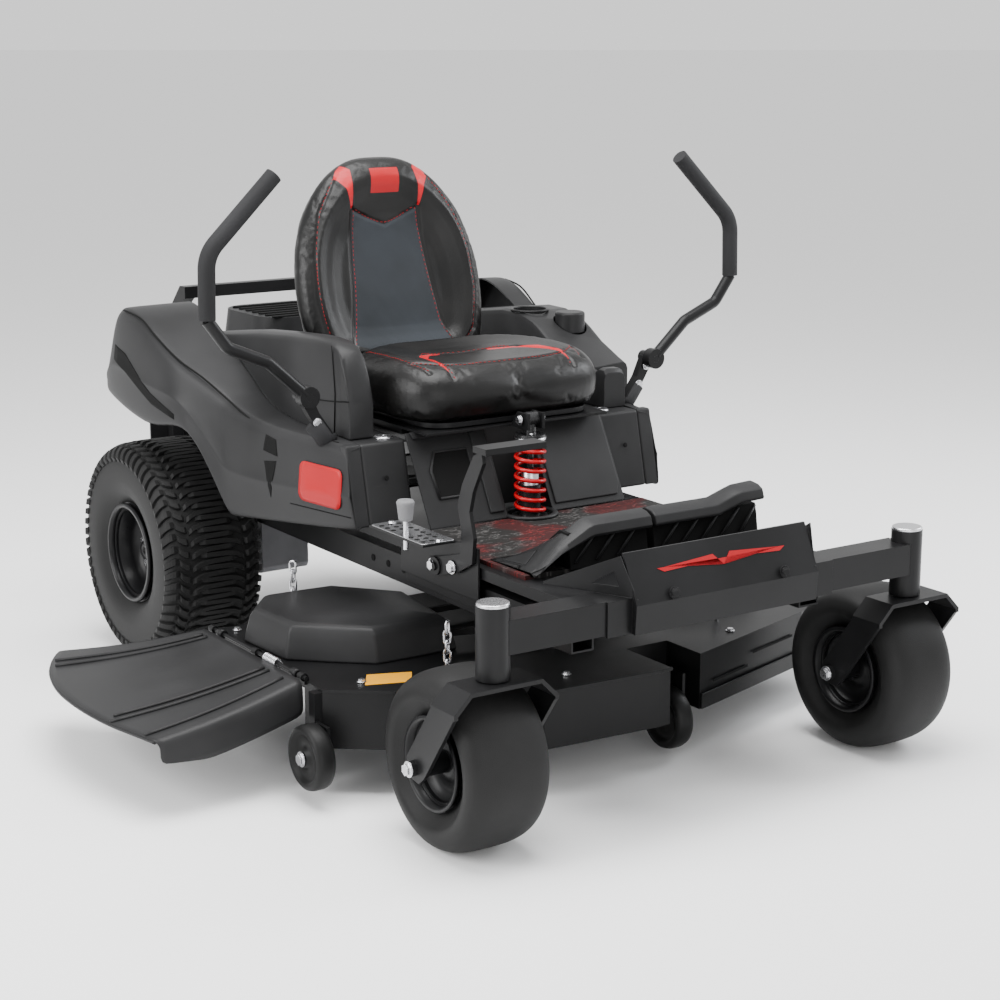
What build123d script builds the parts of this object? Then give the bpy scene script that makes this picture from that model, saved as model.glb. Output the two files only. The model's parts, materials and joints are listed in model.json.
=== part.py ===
"""Zero turn mower: a ride-on mower with lap bars, front casters, a suspended platform and a side-discharge deck.

Millimetres. The model is drawn in the axle frame: X across the machine (+X is the operator's left), Y along it
(the mower faces -Y) and Z up from the ground, with the rear axle at Y = 0. write() moves every finished piece
to the row frame, whose origin is the middle of the bottom of the whole machine's box.
"""
from build123d import *
import math
import os

os.makedirs("parts", exist_ok=True)

# ---------------------------------------------------------------- driving dimensions
SIDES = (-1, 1)                      # operator's right, operator's left
SHEET = 4.0                          # steel sheet and moulded cover thickness
RUNNING = 0.05                       # radial clearance of a shaft that turns in its bore

# overall box in the axle frame
CHUTE_EDGE_X = -940.0
DECK_EDGE_X = 700.0
HITCH_EDGE_Y = 440.0

# rear wheels, 20 x 10 - 8, and front caster wheels, 13 x 6.5 - 6
REAR = dict(r=254.0, half_w=119.0, bead_r=102.0, flange_r=115.0, x=425.0, y=0.0, shoulder=58.0)
AXLE_R = 12.7
CASTER = dict(r=165.0, half_w=84.0, bead_r=76.0, flange_r=86.0, x=488.0, y=-1346.0, shoulder=46.0)
CASTER_PIVOT_Y = -1433.0
CASTER_BOLT_R = 8.0
TYRE_WALL = 12.0
RIM_WALL = 4.0

# frame
RAIL_X = 270.0
RAIL_W = 50.0
RAIL_Z = (332.0, 390.0)
RAIL_Y = (-1395.0, 380.0)
BEAM_Y = (-1460.0, -1395.0)
BEAM_Z = (378.0, 440.0)
TUBE_R = 30.5
TUBE_Z = (333.0, 464.0)
STEM_R = 12.5
FORK_Y = (-1478.0, -1403.0)
FORK_TOP = 331.0
FORK_LEG_X = 108.0
FORK_PLATE = 8.0

# front guard, a folded plate: its top edge, its bend and its lower edge (y, z)
GUARD_FOLD = ((-1437.0, 516.0), (-1480.0, 429.0), (-1476.0, 374.0))
GUARD_X = 214.0
GUSSET_HEADING = (0.42, 0.91)
GUARD_BOLT = (130.0, -1475.0, 441.0)

# suspended platform
PAN_TOP = 432.0
PAN_X = 305.0
FLOOR_Z = 440.0
FLOOR_X = 286.0
SHOCK_Y = -838.0
SPRING_R = 34.0
SPRING_Z = (441.0, 598.0)
SHOCK_ROD_R = 7.0
SHOCK_EYE_Z = 641.0
RING_R = (46.0, 58.0)
SHROUD_TOP = (-745.0, 621.0)
SHROUD_FOOT = (-842.0, 441.0)
CONSOLE_X = (243.5, 347.0)
NICHE_X = 56.0
HIP_X = (290.0, 347.0)
FENDER_X = 350.0
FENDER_TOP_Z = 606.0
LEVER_Y = -664.0
LEVER_PIVOT_Z = 560.0
LEVER_PIN_R = 8.0
LEVER = ((434.0, 707.0), (520.0, 784.0), (606.0, 820.0), (648.0, 877.0), (645.0, 1002.0), (497.0, 1146.0))
LEVER_R = 12.5
GRIP_R = 17.0
SEAT_HINGE = (-792.0, 632.0)

# deck
DECK_Z = (95.0, 211.0)
DECK_OUTLINE = ((-585.0, -1000.0), (-478.0, -1083.0), (-243.0, -1241.0), (18.0, -1258.0), (46.0, -1254.0),
                (46.0, -1110.0), (150.0, -1110.0), (150.0, -1218.0), (518.0, -1105.0), (680.0, -1032.0),
                (DECK_EDGE_X, -990.0), (DECK_EDGE_X, -570.0), (655.0, -530.0), (-585.0, -530.0))
SPINDLES = {"right": (-355.0, -800.0), "middle": (60.0, -890.0), "left": (475.0, -800.0)}
BLADE = dict(r=208.0, w=60.0, z=118.0, t=6.0)
SPINDLE_R = 12.5
SPINDLE_TOP = 262.0
HOUSING_R = 55.0
PULLEY = dict(r=60.0, z=228.0, h=18.0)
CHUTE_HINGE = (-590.0, 220.0)
CHUTE_Y = (-948.0, -535.0)
SCALP = dict(r=63.5, half_w=20.0, bolt_r=6.0)
SCALP_PLACES = {"right": (-622.0, -1022.0, 92.0), "front": (97.0, -1184.0, 80.0)}

# foot lift and height pin
PEDAL_PIVOT = (-318.0, -985.0, 410.0)
PEDAL_T = 8.0
PIN = (-365.0, -945.0)
PIN_R = 5.0
INDEX_Z = 466.0

FRONT_EDGE_Y = CASTER["y"] - CASTER["r"]
ORIGIN = Vector(-(CHUTE_EDGE_X + DECK_EDGE_X) / 2, -(FRONT_EDGE_Y + HITCH_EDGE_Y) / 2, 0)


# ---------------------------------------------------------------- helpers
def write(piece, name):
    """Label a finished piece, move it to the row frame and write its STEP file."""
    piece.part.label = name
    moved = piece.part.moved(Location(ORIGIN))
    moved.label = name
    export_step(moved, f"parts/{name}.step")


def yz(x):
    """The plane across the machine at x, drawn in machine Y and Z, with its normal towards +X."""
    return Plane(origin=(x, 0, 0), x_dir=(0, 1, 0), z_dir=(1, 0, 0))


def xz(y):
    """The plane that faces the front at y, drawn in machine X and Z, with its normal towards -Y."""
    return Plane(origin=(0, y, 0), x_dir=(1, 0, 0), z_dir=(0, -1, 0))


def slab(points, plane, depth, mode=Mode.ADD):
    """Add or cut a flat plate: straight sides through the points, pushed along the plane's normal."""
    with BuildSketch(plane) as drawn:
        with BuildLine():
            Polyline(*points, close=True)
        make_face()
    extrude(drawn.sketch, amount=depth, mode=mode)


def block(x, y, z, mode=Mode.ADD):
    """Add or cut a square block from its three ranges."""
    with BuildSketch(Plane.XY.offset(min(z))) as drawn:
        with Locations((sum(x) / 2, sum(y) / 2)):
            Rectangle(abs(x[1] - x[0]), abs(y[1] - y[0]))
    extrude(drawn.sketch, amount=abs(z[1] - z[0]), mode=mode)


def rod(start, axis, radius, length, mode=Mode.ADD):
    """Add or cut a round bar from its start point along an axis."""
    with BuildSketch(Plane(origin=start, z_dir=axis)) as drawn:
        Circle(radius)
    extrude(drawn.sketch, amount=length, mode=mode)


def mirror_x(points, side):
    """Outline points of the operator's left side, or their mirror on the right."""
    return [(side * x, y) for x, y in points]


def pull_in(points, amount):
    """Move every corner towards the outline's middle by the same amount on both axes."""
    middle = [(min(p[i] for p in points) + max(p[i] for p in points)) / 2 for i in (0, 1)]
    return [tuple(c + math.copysign(amount, m - c) for c, m in zip(p, middle)) for p in points]


def panel(plan, side_view, mode=Mode.ADD):
    """Add or cut the block whose plan view and side view are the two outlines."""
    reach = 1200.0
    with BuildPart(mode=Mode.PRIVATE) as both:
        slab(plan, Plane.XY, reach)
        slab(side_view, yz(-reach), 2 * reach, mode=Mode.INTERSECT)
    add(both.part, mode=mode)


def wheel_plane(wheel):
    """The plane of a wheel's half section: machine X, and height above the wheel's axis."""
    return Plane(origin=(0, wheel["y"], wheel["r"]), x_dir=(1, 0, 0), z_dir=(0, -1, 0))


def wheel_axis(wheel):
    return Axis((0, wheel["y"], wheel["r"]), (1, 0, 0))


def tyre(wheel, side):
    """A hollow tyre: rounded crown, two beads inside the rim's flanges, open towards the rim."""
    low = wheel["flange_r"] + 2
    tall = wheel["r"] - low
    bead_x = wheel["half_w"] - 30
    with BuildSketch(wheel_plane(wheel)) as section:
        with Locations((side * wheel["x"], low + tall / 2)):
            Rectangle(2 * wheel["half_w"], tall)
        fillet(section.vertices().group_by(Axis.Y)[-1], wheel["shoulder"])
        fillet(section.vertices().group_by(Axis.Y)[0], TYRE_WALL)
        with BuildSketch(Plane.XY, mode=Mode.PRIVATE) as hollow:
            with Locations((side * wheel["x"], low + (tall - TYRE_WALL) / 2)):
                Rectangle(2 * (wheel["half_w"] - TYRE_WALL), tall - TYRE_WALL)
            fillet(hollow.vertices().group_by(Axis.Y)[-1], wheel["shoulder"] - TYRE_WALL)
        add(hollow.sketch, mode=Mode.SUBTRACT)
        for edge in SIDES:
            with Locations((side * wheel["x"] + edge * (bead_x - 8), (wheel["bead_r"] + low + 12) / 2)):
                Rectangle(16, low + 12 - wheel["bead_r"])
            with Locations((side * wheel["x"] + edge * (bead_x + 3), low + 8)):
                Rectangle(38, 12)
    revolve(section.sketch, axis=wheel_axis(wheel))


def rim(wheel, side, hub, disc_x):
    """A pressed rim: barrel, two flanges, a dished disc and a hub (radius, inner end, outer end)."""
    bead_x = wheel["half_w"] - 30
    centre = side * wheel["x"]
    with BuildSketch(wheel_plane(wheel)) as section:
        with Locations((centre, wheel["bead_r"] - RIM_WALL / 2 - 0.2)):
            Rectangle(2 * (bead_x + RIM_WALL), RIM_WALL)
        for edge in SIDES:
            with Locations((centre + edge * (bead_x + RIM_WALL / 2 + 0.2),
                            (wheel["bead_r"] - RIM_WALL + wheel["flange_r"]) / 2)):
                Rectangle(RIM_WALL, wheel["flange_r"] - wheel["bead_r"] + RIM_WALL)
        with Locations((side * disc_x, wheel["bead_r"] / 2)):
            Rectangle(6, wheel["bead_r"] - 4)
        with Locations((side * (hub[1] + hub[2]) / 2, hub[0] / 2)):
            Rectangle(hub[2] - hub[1], hub[0])
    revolve(section.sketch, axis=wheel_axis(wheel))


# ---------------------------------------------------------------- frame
with BuildPart() as frame_rails:
    for side in SIDES:
        outer = (side * (RAIL_X - RAIL_W / 2), side * (RAIL_X + RAIL_W / 2))
        inner = (side * (RAIL_X - RAIL_W / 2 + SHEET), side * (RAIL_X + RAIL_W / 2 - SHEET))
        block(outer, RAIL_Y, RAIL_Z)
        block(inner, RAIL_Y, (RAIL_Z[0] + SHEET, RAIL_Z[1] - SHEET), mode=Mode.SUBTRACT)
write(frame_rails, "frame_rails")

with BuildPart() as front_beam:
    reach = (-CASTER["x"], CASTER["x"])
    block(reach, BEAM_Y, BEAM_Z)
    block(reach, (BEAM_Y[0] + SHEET, BEAM_Y[1] - SHEET), (BEAM_Z[0] + SHEET, BEAM_Z[1] - SHEET), mode=Mode.SUBTRACT)
    for side in SIDES:
        rod((side * CASTER["x"], CASTER_PIVOT_Y, 0), (0, 0, 1), TUBE_R + 0.1, 2 * TUBE_Z[1], mode=Mode.SUBTRACT)
        block((side * CASTER["x"], side * (CASTER["x"] - 12)), BEAM_Y, BEAM_Z, mode=Mode.SUBTRACT)
write(front_beam, "front_beam")

with BuildPart() as caster_tubes:
    bush = 26.0
    for side in SIDES:
        foot = (side * CASTER["x"], CASTER_PIVOT_Y, TUBE_Z[0])
        rod(foot, (0, 0, 1), TUBE_R, TUBE_Z[1] - TUBE_Z[0])
        rod(foot, (0, 0, 1), STEM_R + RUNNING, TUBE_Z[1] - TUBE_Z[0], mode=Mode.SUBTRACT)
        rod((foot[0], foot[1], foot[2] + bush), (0, 0, 1), TUBE_R - 5, TUBE_Z[1] - TUBE_Z[0] - 2 * bush,
            mode=Mode.SUBTRACT)
write(caster_tubes, "caster_tubes")

with BuildPart() as caster_caps:
    for side in SIDES:
        rod((side * CASTER["x"], CASTER_PIVOT_Y, TUBE_Z[1]), (0, 0, 1), TUBE_R - 1, 6)
    fillet(caster_caps.faces().sort_by(Axis.Z)[-2:].edges(), 3)
write(caster_caps, "caster_caps")

with BuildPart() as front_guard:
    top, bend, foot = GUARD_FOLD
    slab((top, bend, foot, (foot[0] + SHEET, foot[1]), (bend[0] + SHEET, bend[1]), (top[0] + SHEET, top[1])),
         yz(-GUARD_X), 2 * GUARD_X)
    for side in SIDES:
        heading = (side * GUSSET_HEADING[0], GUSSET_HEADING[1], 0)
        normal = (side * GUSSET_HEADING[1], -GUSSET_HEADING[0], 0) if side > 0 else (
            GUSSET_HEADING[1], GUSSET_HEADING[0], 0)
        cheek = Plane(origin=(side * (GUARD_X - 3), bend[0] + 8, 0), x_dir=heading,
                      z_dir=(-side * normal[0], -side * normal[1], 0))
        rise = 1 if cheek.y_dir.Z > 0 else -1
        slab([(u, rise * z) for u, z in ((-2, 441), (189, 441), (189, 446), (32, 514))], cheek, SHEET / 2)
        slab([(u, rise * z) for u, z in ((88, 457), (44, 484), (34, 458))], cheek, SHEET / 2, mode=Mode.SUBTRACT)
        block((side * (GUARD_X - 2), side * 266), (BEAM_Y[0] - SHEET, BEAM_Y[0]), (foot[1], BEAM_Z[1]))
        block((side * (GUARD_X - 2), side * (GUARD_X - 6)), (foot[0], BEAM_Y[0]), (foot[1], BEAM_Z[1]))
    for side in SIDES:
        rod((side * GUARD_BOLT[0], GUARD_BOLT[1] - 20, GUARD_BOLT[2]), (0, 1, 0), 5.2, 40, mode=Mode.SUBTRACT)
write(front_guard, "front_guard")

with BuildPart() as front_guard_bolts:
    for side in SIDES:
        rod((side * GUARD_BOLT[0], GUARD_BOLT[1] - 9, GUARD_BOLT[2]), (0, 1, 0), 9, 5)
        rod((side * GUARD_BOLT[0], GUARD_BOLT[1] - 4, GUARD_BOLT[2]), (0, 1, 0), 5, 17)
write(front_guard_bolts, "front_guard_bolts")

with BuildPart() as cross_members:
    inner_x = RAIL_X - RAIL_W / 2
    for y in (SHOCK_Y, -280.0):
        block((-inner_x, inner_x), (y - 30, y + 30), (338, 378))
        block((-inner_x, inner_x), (y - 30 + SHEET, y + 30 - SHEET), (338 + SHEET, 378 - SHEET), mode=Mode.SUBTRACT)
write(cross_members, "cross_members")

with BuildPart() as rear_frame:
    wide = RAIL_X + RAIL_W / 2
    block((-wide, wide), (10, RAIL_Y[1]), (RAIL_Z[1], RAIL_Z[1] + 6))
    block((-wide, wide), (RAIL_Y[1], RAIL_Y[1] + 6), (300, 520))
    block((-60, 60), (RAIL_Y[1] + 6, HITCH_EDGE_Y), (330, 338))
    fillet(rear_frame.edges().filter_by(Axis.Z).group_by(Axis.Y)[-1], 20)
    rod((0, HITCH_EDGE_Y - 26, 300), (0, 0, 1), 10, 60, mode=Mode.SUBTRACT)
    rod((0, 180, 380), (0, 0, 1), 40, 40, mode=Mode.SUBTRACT)
    with Locations(Plane(origin=(0, RAIL_Y[1] + 6, 450), x_dir=(1, 0, 0), z_dir=(0, 1, 0))):
        with GridLocations(400, 80, 2, 2):
            Hole(5.5)
write(rear_frame, "rear_frame")

with BuildPart() as transaxles:
    for side in SIDES:
        block((side * 120, side * 240), (-95, 95), (180, 331))
        rod((side * 170, -40, 331), (0, 0, 1), 12, 10)
        rod((side * 165, 0, REAR["r"]), (side, 0, 0), AXLE_R + RUNNING, 80, mode=Mode.SUBTRACT)
    fillet(transaxles.edges().filter_by(Axis.X), 18)
write(transaxles, "transaxles")

with BuildPart() as drive_belt:
    pulleys = ((-170.0, -40.0, 60.0), (170.0, -40.0, 60.0), (0.0, 180.0, 55.0))
    for grow, mode in ((9.0, Mode.ADD), (0.0, Mode.SUBTRACT)):
        with BuildSketch(Plane.XY.offset(350)):
            for x, y, radius in pulleys:
                with Locations((x, y)):
                    Circle(radius + grow)
            make_hull()
        extrude(amount=12, mode=mode)
    for x, y, radius in pulleys:
        rod((x, y, 343), (0, 0, 1), radius, 26)
write(drive_belt, "drive_belt")

# ---------------------------------------------------------------- engine
with BuildPart() as engine_block:
    block((-150, 150), (60, 330), (396, 560))
    fillet(engine_block.edges().filter_by(Axis.Z), 25)
    for side in SIDES:
        block((side * 120, side * 225), (110, 230), (470, 600))
    rod((0, 180, 372), (0, 0, 1), 16, 30)
write(engine_block, "engine_block")

with BuildPart() as engine_shroud:
    with BuildSketch(Plane.XY.offset(600.5)):
        RectangleRounded(300, 300, 90)
    extrude(amount=150, taper=8)
    with BuildSketch(Plane.XY.offset(600.5)):
        RectangleRounded(300 - 2 * SHEET, 300 - 2 * SHEET, 88)
    extrude(amount=150 - SHEET, taper=8, mode=Mode.SUBTRACT)
engine_shroud.part = engine_shroud.part.moved(Location((0, 195, 0)))
write(engine_shroud, "engine_shroud")

with BuildPart() as muffler:
    rod((-150, 348, 440), (1, 0, 0), 16, 300)
write(muffler, "muffler")

with BuildPart() as engine_guard:
    for side in SIDES:
        leg = (side * 221, side * 249)
        block(leg, (350, 378), (396, 720))
        slab(((350, 720), (378, 720), (284, 814), (256, 790)), yz(min(leg)), 28)
    block((-249, 249), (256, 284), (786, 814))
write(engine_guard, "engine_guard")

# ---------------------------------------------------------------- shock absorber
with BuildPart() as shock_body:
    rod((0, SHOCK_Y, 378), (0, 0, 1), 22, 127)
    rod((0, SHOCK_Y, SPRING_Z[0] - 8), (0, 0, 1), SPRING_R + 3, 7.5)
    rod((0, SHOCK_Y, 425), (0, 0, 1), SHOCK_ROD_R + RUNNING, 90, mode=Mode.SUBTRACT)
write(shock_body, "shock_body")

with BuildPart() as coil_spring:
    rod((0, SHOCK_Y, SPRING_Z[0]), (0, 0, 1), SPRING_R, SPRING_Z[1] - SPRING_Z[0])
    rod((0, SHOCK_Y, SPRING_Z[0]), (0, 0, 1), SPRING_R - 8, SPRING_Z[1] - SPRING_Z[0], mode=Mode.SUBTRACT)
write(coil_spring, "coil_spring")

with BuildPart() as shock_rod:
    rod((0, SHOCK_Y, 465), (0, 0, 1), SHOCK_ROD_R, 140)
    rod((0, SHOCK_Y, SPRING_Z[1] + 0.3), (0, 0, 1), SPRING_R - 2, 12)
    rod((0, SHOCK_Y, SPRING_Z[1] + 12), (0, 0, 1), 12, 30)
    rod((-14, SHOCK_Y, SHOCK_EYE_Z), (1, 0, 0), 15, 28)
    rod((-27, SHOCK_Y, SHOCK_EYE_Z), (1, 0, 0), 6, 54)
write(shock_rod, "shock_rod")

# ---------------------------------------------------------------- suspended platform
with BuildPart() as floor_pan:
    block((-PAN_X, PAN_X), (-1385, -500), (PAN_TOP - SHEET, PAN_TOP))
    for side in SIDES:
        block((side * (PAN_X - SHEET), side * PAN_X), (-1385, -500), (PAN_TOP - 22, PAN_TOP))
    rod((0, SHOCK_Y, PAN_TOP), (0, 0, 1), RING_R[1], 12)
    rod((0, SHOCK_Y, PAN_TOP - 10), (0, 0, 1), RING_R[0], 30, mode=Mode.SUBTRACT)
write(floor_pan, "floor_pan")

with BuildPart() as floor_mat:
    block((-FLOOR_X, FLOOR_X), (-1236, -846), (PAN_TOP, FLOOR_Z))
    rod((0, SHOCK_Y, PAN_TOP), (0, 0, 1), RING_R[1] + 0.5, 20, mode=Mode.SUBTRACT)
write(floor_mat, "floor_mat")

with BuildPart() as footrests:
    tread = ((-1100, 440.5), (-1219, 529), (-1253, 493), (-1262, 440.5), (-1256, 440.5), (-1247, 491), (-1218, 521),
             (-1108, 440.5))
    under = ((-1108, 440.5), (-1218, 521), (-1247, 491), (-1256, 440.5))
    slab(tread, yz(5), 271)
    for x in (5.0, 90.0, 175.0, 270.0):
        slab(under, yz(x), 6)
    slab(tread, yz(-150), 145)
    for x in (-11.0, -90.0, -150.0):
        slab(under, yz(x), 6)
    with BuildPart(mode=Mode.PRIVATE) as ramp:         # the right tread falls away beside the lift pedal
        slab(((-150, 529), (-150, 521), (-268, 440.5), (-280, 440.5)), xz(-1090), 180)
        slab(((-1100, 440.5), (-1219, 529), (-1253, 493), (-1262, 440.5)), yz(-300), 300, mode=Mode.INTERSECT)
    add(ramp.part)
write(footrests, "footrests")

with BuildPart() as front_shroud:
    lean = (SHROUD_TOP[0] - SHROUD_FOOT[0]) / (SHROUD_TOP[1] - SHROUD_FOOT[1])
    sheet = (SHROUD_TOP, SHROUD_FOOT, (SHROUD_FOOT[0] + SHEET, SHROUD_FOOT[1]), (SHROUD_TOP[0] + SHEET, SHROUD_TOP[1]))
    slab(sheet, yz(-CONSOLE_X[0] + 0.5), 2 * CONSOLE_X[0] - 1)
    block((-NICHE_X, NICHE_X), (-900, -700), (400, 700), mode=Mode.SUBTRACT)
    back_y = SHROUD_TOP[0] + SHEET
    for side in SIDES:
        cheek_x = min(side * NICHE_X, side * (NICHE_X + SHEET))
        slab((SHROUD_TOP, SHROUD_FOOT, (back_y, SHROUD_FOOT[1]), (back_y, SHROUD_TOP[1])), yz(cheek_x), SHEET)
    block((-NICHE_X, NICHE_X), (back_y - SHEET, back_y), (SHROUD_FOOT[1] + 4, SHROUD_TOP[1]))
    rod((0, SHOCK_Y, 400), (0, 0, 1), RING_R[1] + 0.5, 44.5, mode=Mode.SUBTRACT)
write(front_shroud, "front_shroud")

with BuildPart() as consoles:
    side_view = ((-782, 447), (-745, 611), (-600, 611), (-600, 447))
    for side in SIDES:
        plan = mirror_x(((CONSOLE_X[0], -800), (CONSOLE_X[1], -800), (CONSOLE_X[1], -600), (CONSOLE_X[0], -600)), side)
        panel(plan, side_view)
        panel(pull_in(plan, SHEET), ((-777, 400), (-741, 607), (-590, 607), (-590, 400)), mode=Mode.SUBTRACT)
        rod((side * (CONSOLE_X[1] - SHEET), LEVER_Y, LEVER_PIVOT_Z), (side, 0, 0), LEVER_PIN_R, 44)
write(consoles, "consoles")

RIGHT_HIP = ((-702, 690), (-690, 612), (0, 612), (0, 742), (-300, 786), (-620, 806), (-668, 790))
LEFT_HIP = ((-702, 690), (-690, 612), (0, 612), (0, 742), (-300, 786), (-367, 786), (-431, 765), (-498, 725),
            (-634, 670), (-680, 700))
HIP_BULGE_X = 440.0
CUP = (335.0, -350.0)
FILLER = (385.0, -440.0)
with BuildPart() as hip_panels:
    slim = ((HIP_X[0], -702), (HIP_X[1], -702), (HIP_X[1], 0), (HIP_X[0], 0))
    wide = ((HIP_X[0], -702), (HIP_X[1], -702), (HIP_X[1], -596), (HIP_BULGE_X, -596), (HIP_BULGE_X, 0),
            (HIP_X[0], 0))
    wide_in = ((HIP_X[0] + SHEET, -698), (HIP_X[1] - SHEET, -698), (HIP_X[1] - SHEET, -592),
               (HIP_BULGE_X - SHEET, -592), (HIP_BULGE_X - SHEET, -SHEET), (HIP_X[0] + SHEET, -SHEET))
    for plan, hollow, side, view in ((slim, pull_in(slim, SHEET), -1, RIGHT_HIP), (wide, wide_in, 1, LEFT_HIP)):
        panel(mirror_x(plan, side), view)
        cavity = [(y + math.copysign(SHEET, -350 - y), z - SHEET if z > 640 else z - 40) for y, z in view]
        panel(mirror_x(hollow, side), cavity, mode=Mode.SUBTRACT)
    rod((*CUP, 690), (0, 0, 1), 42, 100)
    rod((*CUP, 694), (0, 0, 1), 38, 100, mode=Mode.SUBTRACT)
    rod((*FILLER, 600), (0, 0, 1), 37, 220, mode=Mode.SUBTRACT)
write(hip_panels, "hip_panels")

FENDER_PLAN = ((FENDER_X, -790), (381, -790), (440, -340), (498, -200), (505, 60), (480, 165), (FENDER_X, 165))
FENDER_TOP = ((-782, 447), (-742, FENDER_TOP_Z), (-450, FENDER_TOP_Z - 2), (-330, 640), (-200, 715), (-60, 788),
              (30, 806), (62, 780), (156, 622))
FENDER_ARCH = ((133, 606), (-105, 562), (-262, 590), (-340, 396))
with BuildPart() as fenders:
    for side in SIDES:
        plan = mirror_x(FENDER_PLAN, side)
        panel(plan, FENDER_TOP + FENDER_ARCH)
        hollow = [(side * (x - SHEET if x > FENDER_X else x - 20), y) for x, y in FENDER_PLAN]
        cavity = [(y + math.copysign(SHEET, 20 - y), z - SHEET) for y, z in FENDER_TOP]
        panel(hollow, [(-778, 300)] + cavity + [(152, 300)], mode=Mode.SUBTRACT)
        block((side * 355, side * 391), (LEVER_Y - 40, LEVER_Y + 40), (FENDER_TOP_Z - 20, FENDER_TOP_Z + 20),
              mode=Mode.SUBTRACT)
    rod((*FILLER, 590), (0, 0, 1), 26, 30, mode=Mode.SUBTRACT)
    panel(((HIP_X[0], -600), (HIP_BULGE_X + 3, -600), (HIP_BULGE_X + 3, 4), (HIP_X[0], 4)),
          ((-600, 609), (-600, 900), (4, 900), (4, 609)), mode=Mode.SUBTRACT)
write(fenders, "fenders")

with BuildPart() as fuel_tank:
    block((356, 411), (-470, -345), (440, 585))
    fillet(fuel_tank.edges().filter_by(Axis.Z), 20)
    rod((*FILLER, 580), (0, 0, 1), 22, 160)
write(fuel_tank, "fuel_tank")

with BuildPart() as seat_base:
    block((-225, 225), (-800, -250), (622, 627))
    for side in SIDES:
        ear_x = min(side * 15, side * 21)
        slab(((-860, 627), (-860, 655), (-820, 655), (-800, 627), (-800, 622), (-860, 622)), yz(ear_x), 6)
        block((side * 190, side * 225), (-700, -300), (611.5, 622))
    rod((-40, SHOCK_Y, SHOCK_EYE_Z), (1, 0, 0), 6.1, 80, mode=Mode.SUBTRACT)
write(seat_base, "seat_base")

# ---------------------------------------------------------------- fuel cap and seat
with BuildPart() as fuel_cap:
    rod((*FILLER, 741), (0, 0, 1), 34, 46)
    fillet(fuel_cap.edges().group_by(Axis.Z)[-1], 6)
write(fuel_cap, "fuel_cap")

with BuildPart() as seat_pan:
    block((-205, 205), (-785, -270), (630, 640))
    fillet(seat_pan.edges().filter_by(Axis.Z), 60)
write(seat_pan, "seat_pan")

with BuildPart() as seat_cushion:
    block((-250, 250), (-797, -425), (640.5, 764))
    upright = seat_cushion.edges().filter_by(Axis.Z).sort_by(Axis.Y)
    fillet(upright[:2], 80)
    fillet(seat_cushion.edges().filter_by(Axis.Z).sort_by(Axis.Y)[-2:], 165)
    fillet(seat_cushion.edges().group_by(Axis.Z)[-1], 40)
write(seat_cushion, "seat_cushion")

BACK_LEAN = 14.0
BACK_THICKNESS = 80.0
BACK_FOOT = (-366.0, 690.0)
BACK_TOP = 476.0
with BuildPart() as seat_back:
    back = Plane(origin=(0, *BACK_FOOT), x_dir=(1, 0, 0), z_dir=(0, -1, 0)).rotated((-BACK_LEAN, 0, 0))
    with BuildSketch(back):
        with BuildLine():
            Spline((0, BACK_TOP), (70, BACK_TOP - 8), (141, 425), (202, 345), (232, 240), (235, 140), (202, 0),
                   tangents=((1, 0), (-0.5, -1)))
            Line((202, 0), (-202, 0))
            Spline((-202, 0), (-235, 140), (-232, 240), (-202, 345), (-141, 425), (-70, BACK_TOP - 8), (0, BACK_TOP),
                   tangents=((-0.5, 1), (1, 0)))
        make_face()
    extrude(amount=-BACK_THICKNESS)
write(seat_back, "seat_back")

# ---------------------------------------------------------------- lap bars
for side, name in ((-1, "right"), (1, "left")):
    x = side * LEVER[0][0]
    with BuildPart() as lever_base:
        shank = ((362, 545), (382, 545), (382, 606), (420, 660), (446, 704), (434, 720), (420, 712), (400, 668),
                 (362, 614))
        slab(mirror_x(shank, side), xz(LEVER_Y + 8), 18)
        rod((side * 354, LEVER_Y, LEVER_PIVOT_Z), (side, 0, 0), 18, 30)
        rod((side * 350, LEVER_Y, LEVER_PIVOT_Z), (side, 0, 0), LEVER_PIN_R + RUNNING, 50, mode=Mode.SUBTRACT)
        rod((x, LEVER_Y + 14, LEVER[0][1]), (0, -1, 0), 14, 24)
        rod((x, LEVER_Y - 10, LEVER[0][1]), (0, -1, 0), 8, 26)
    write(lever_base, f"lever_base_{name}")

    points = [(side * px, LEVER_Y - 24, pz) for px, pz in LEVER]
    with BuildPart() as lever:
        with BuildLine() as path:
            FilletPolyline(*points[:4], radius=30)
        with BuildSketch(Plane(origin=path.line @ 0, z_dir=path.line % 0)):
            Circle(LEVER_R)
        sweep()
        rod((points[0][0], points[0][1] + 12, points[0][2]), (0, -1, 0), 22, 24)
        rod((points[0][0], points[0][1] + 13, points[0][2]), (0, -1, 0), 8 + RUNNING, 30, mode=Mode.SUBTRACT)
    write(lever, f"lever_{name}")

    with BuildPart() as grip:
        with BuildLine() as path:
            FilletPolyline(*points[3:], radius=70)
        with BuildSketch(Plane(origin=path.line @ 0, z_dir=path.line % 0)):
            Circle(GRIP_R)
        sweep()
    write(grip, f"grip_{name}")

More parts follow.
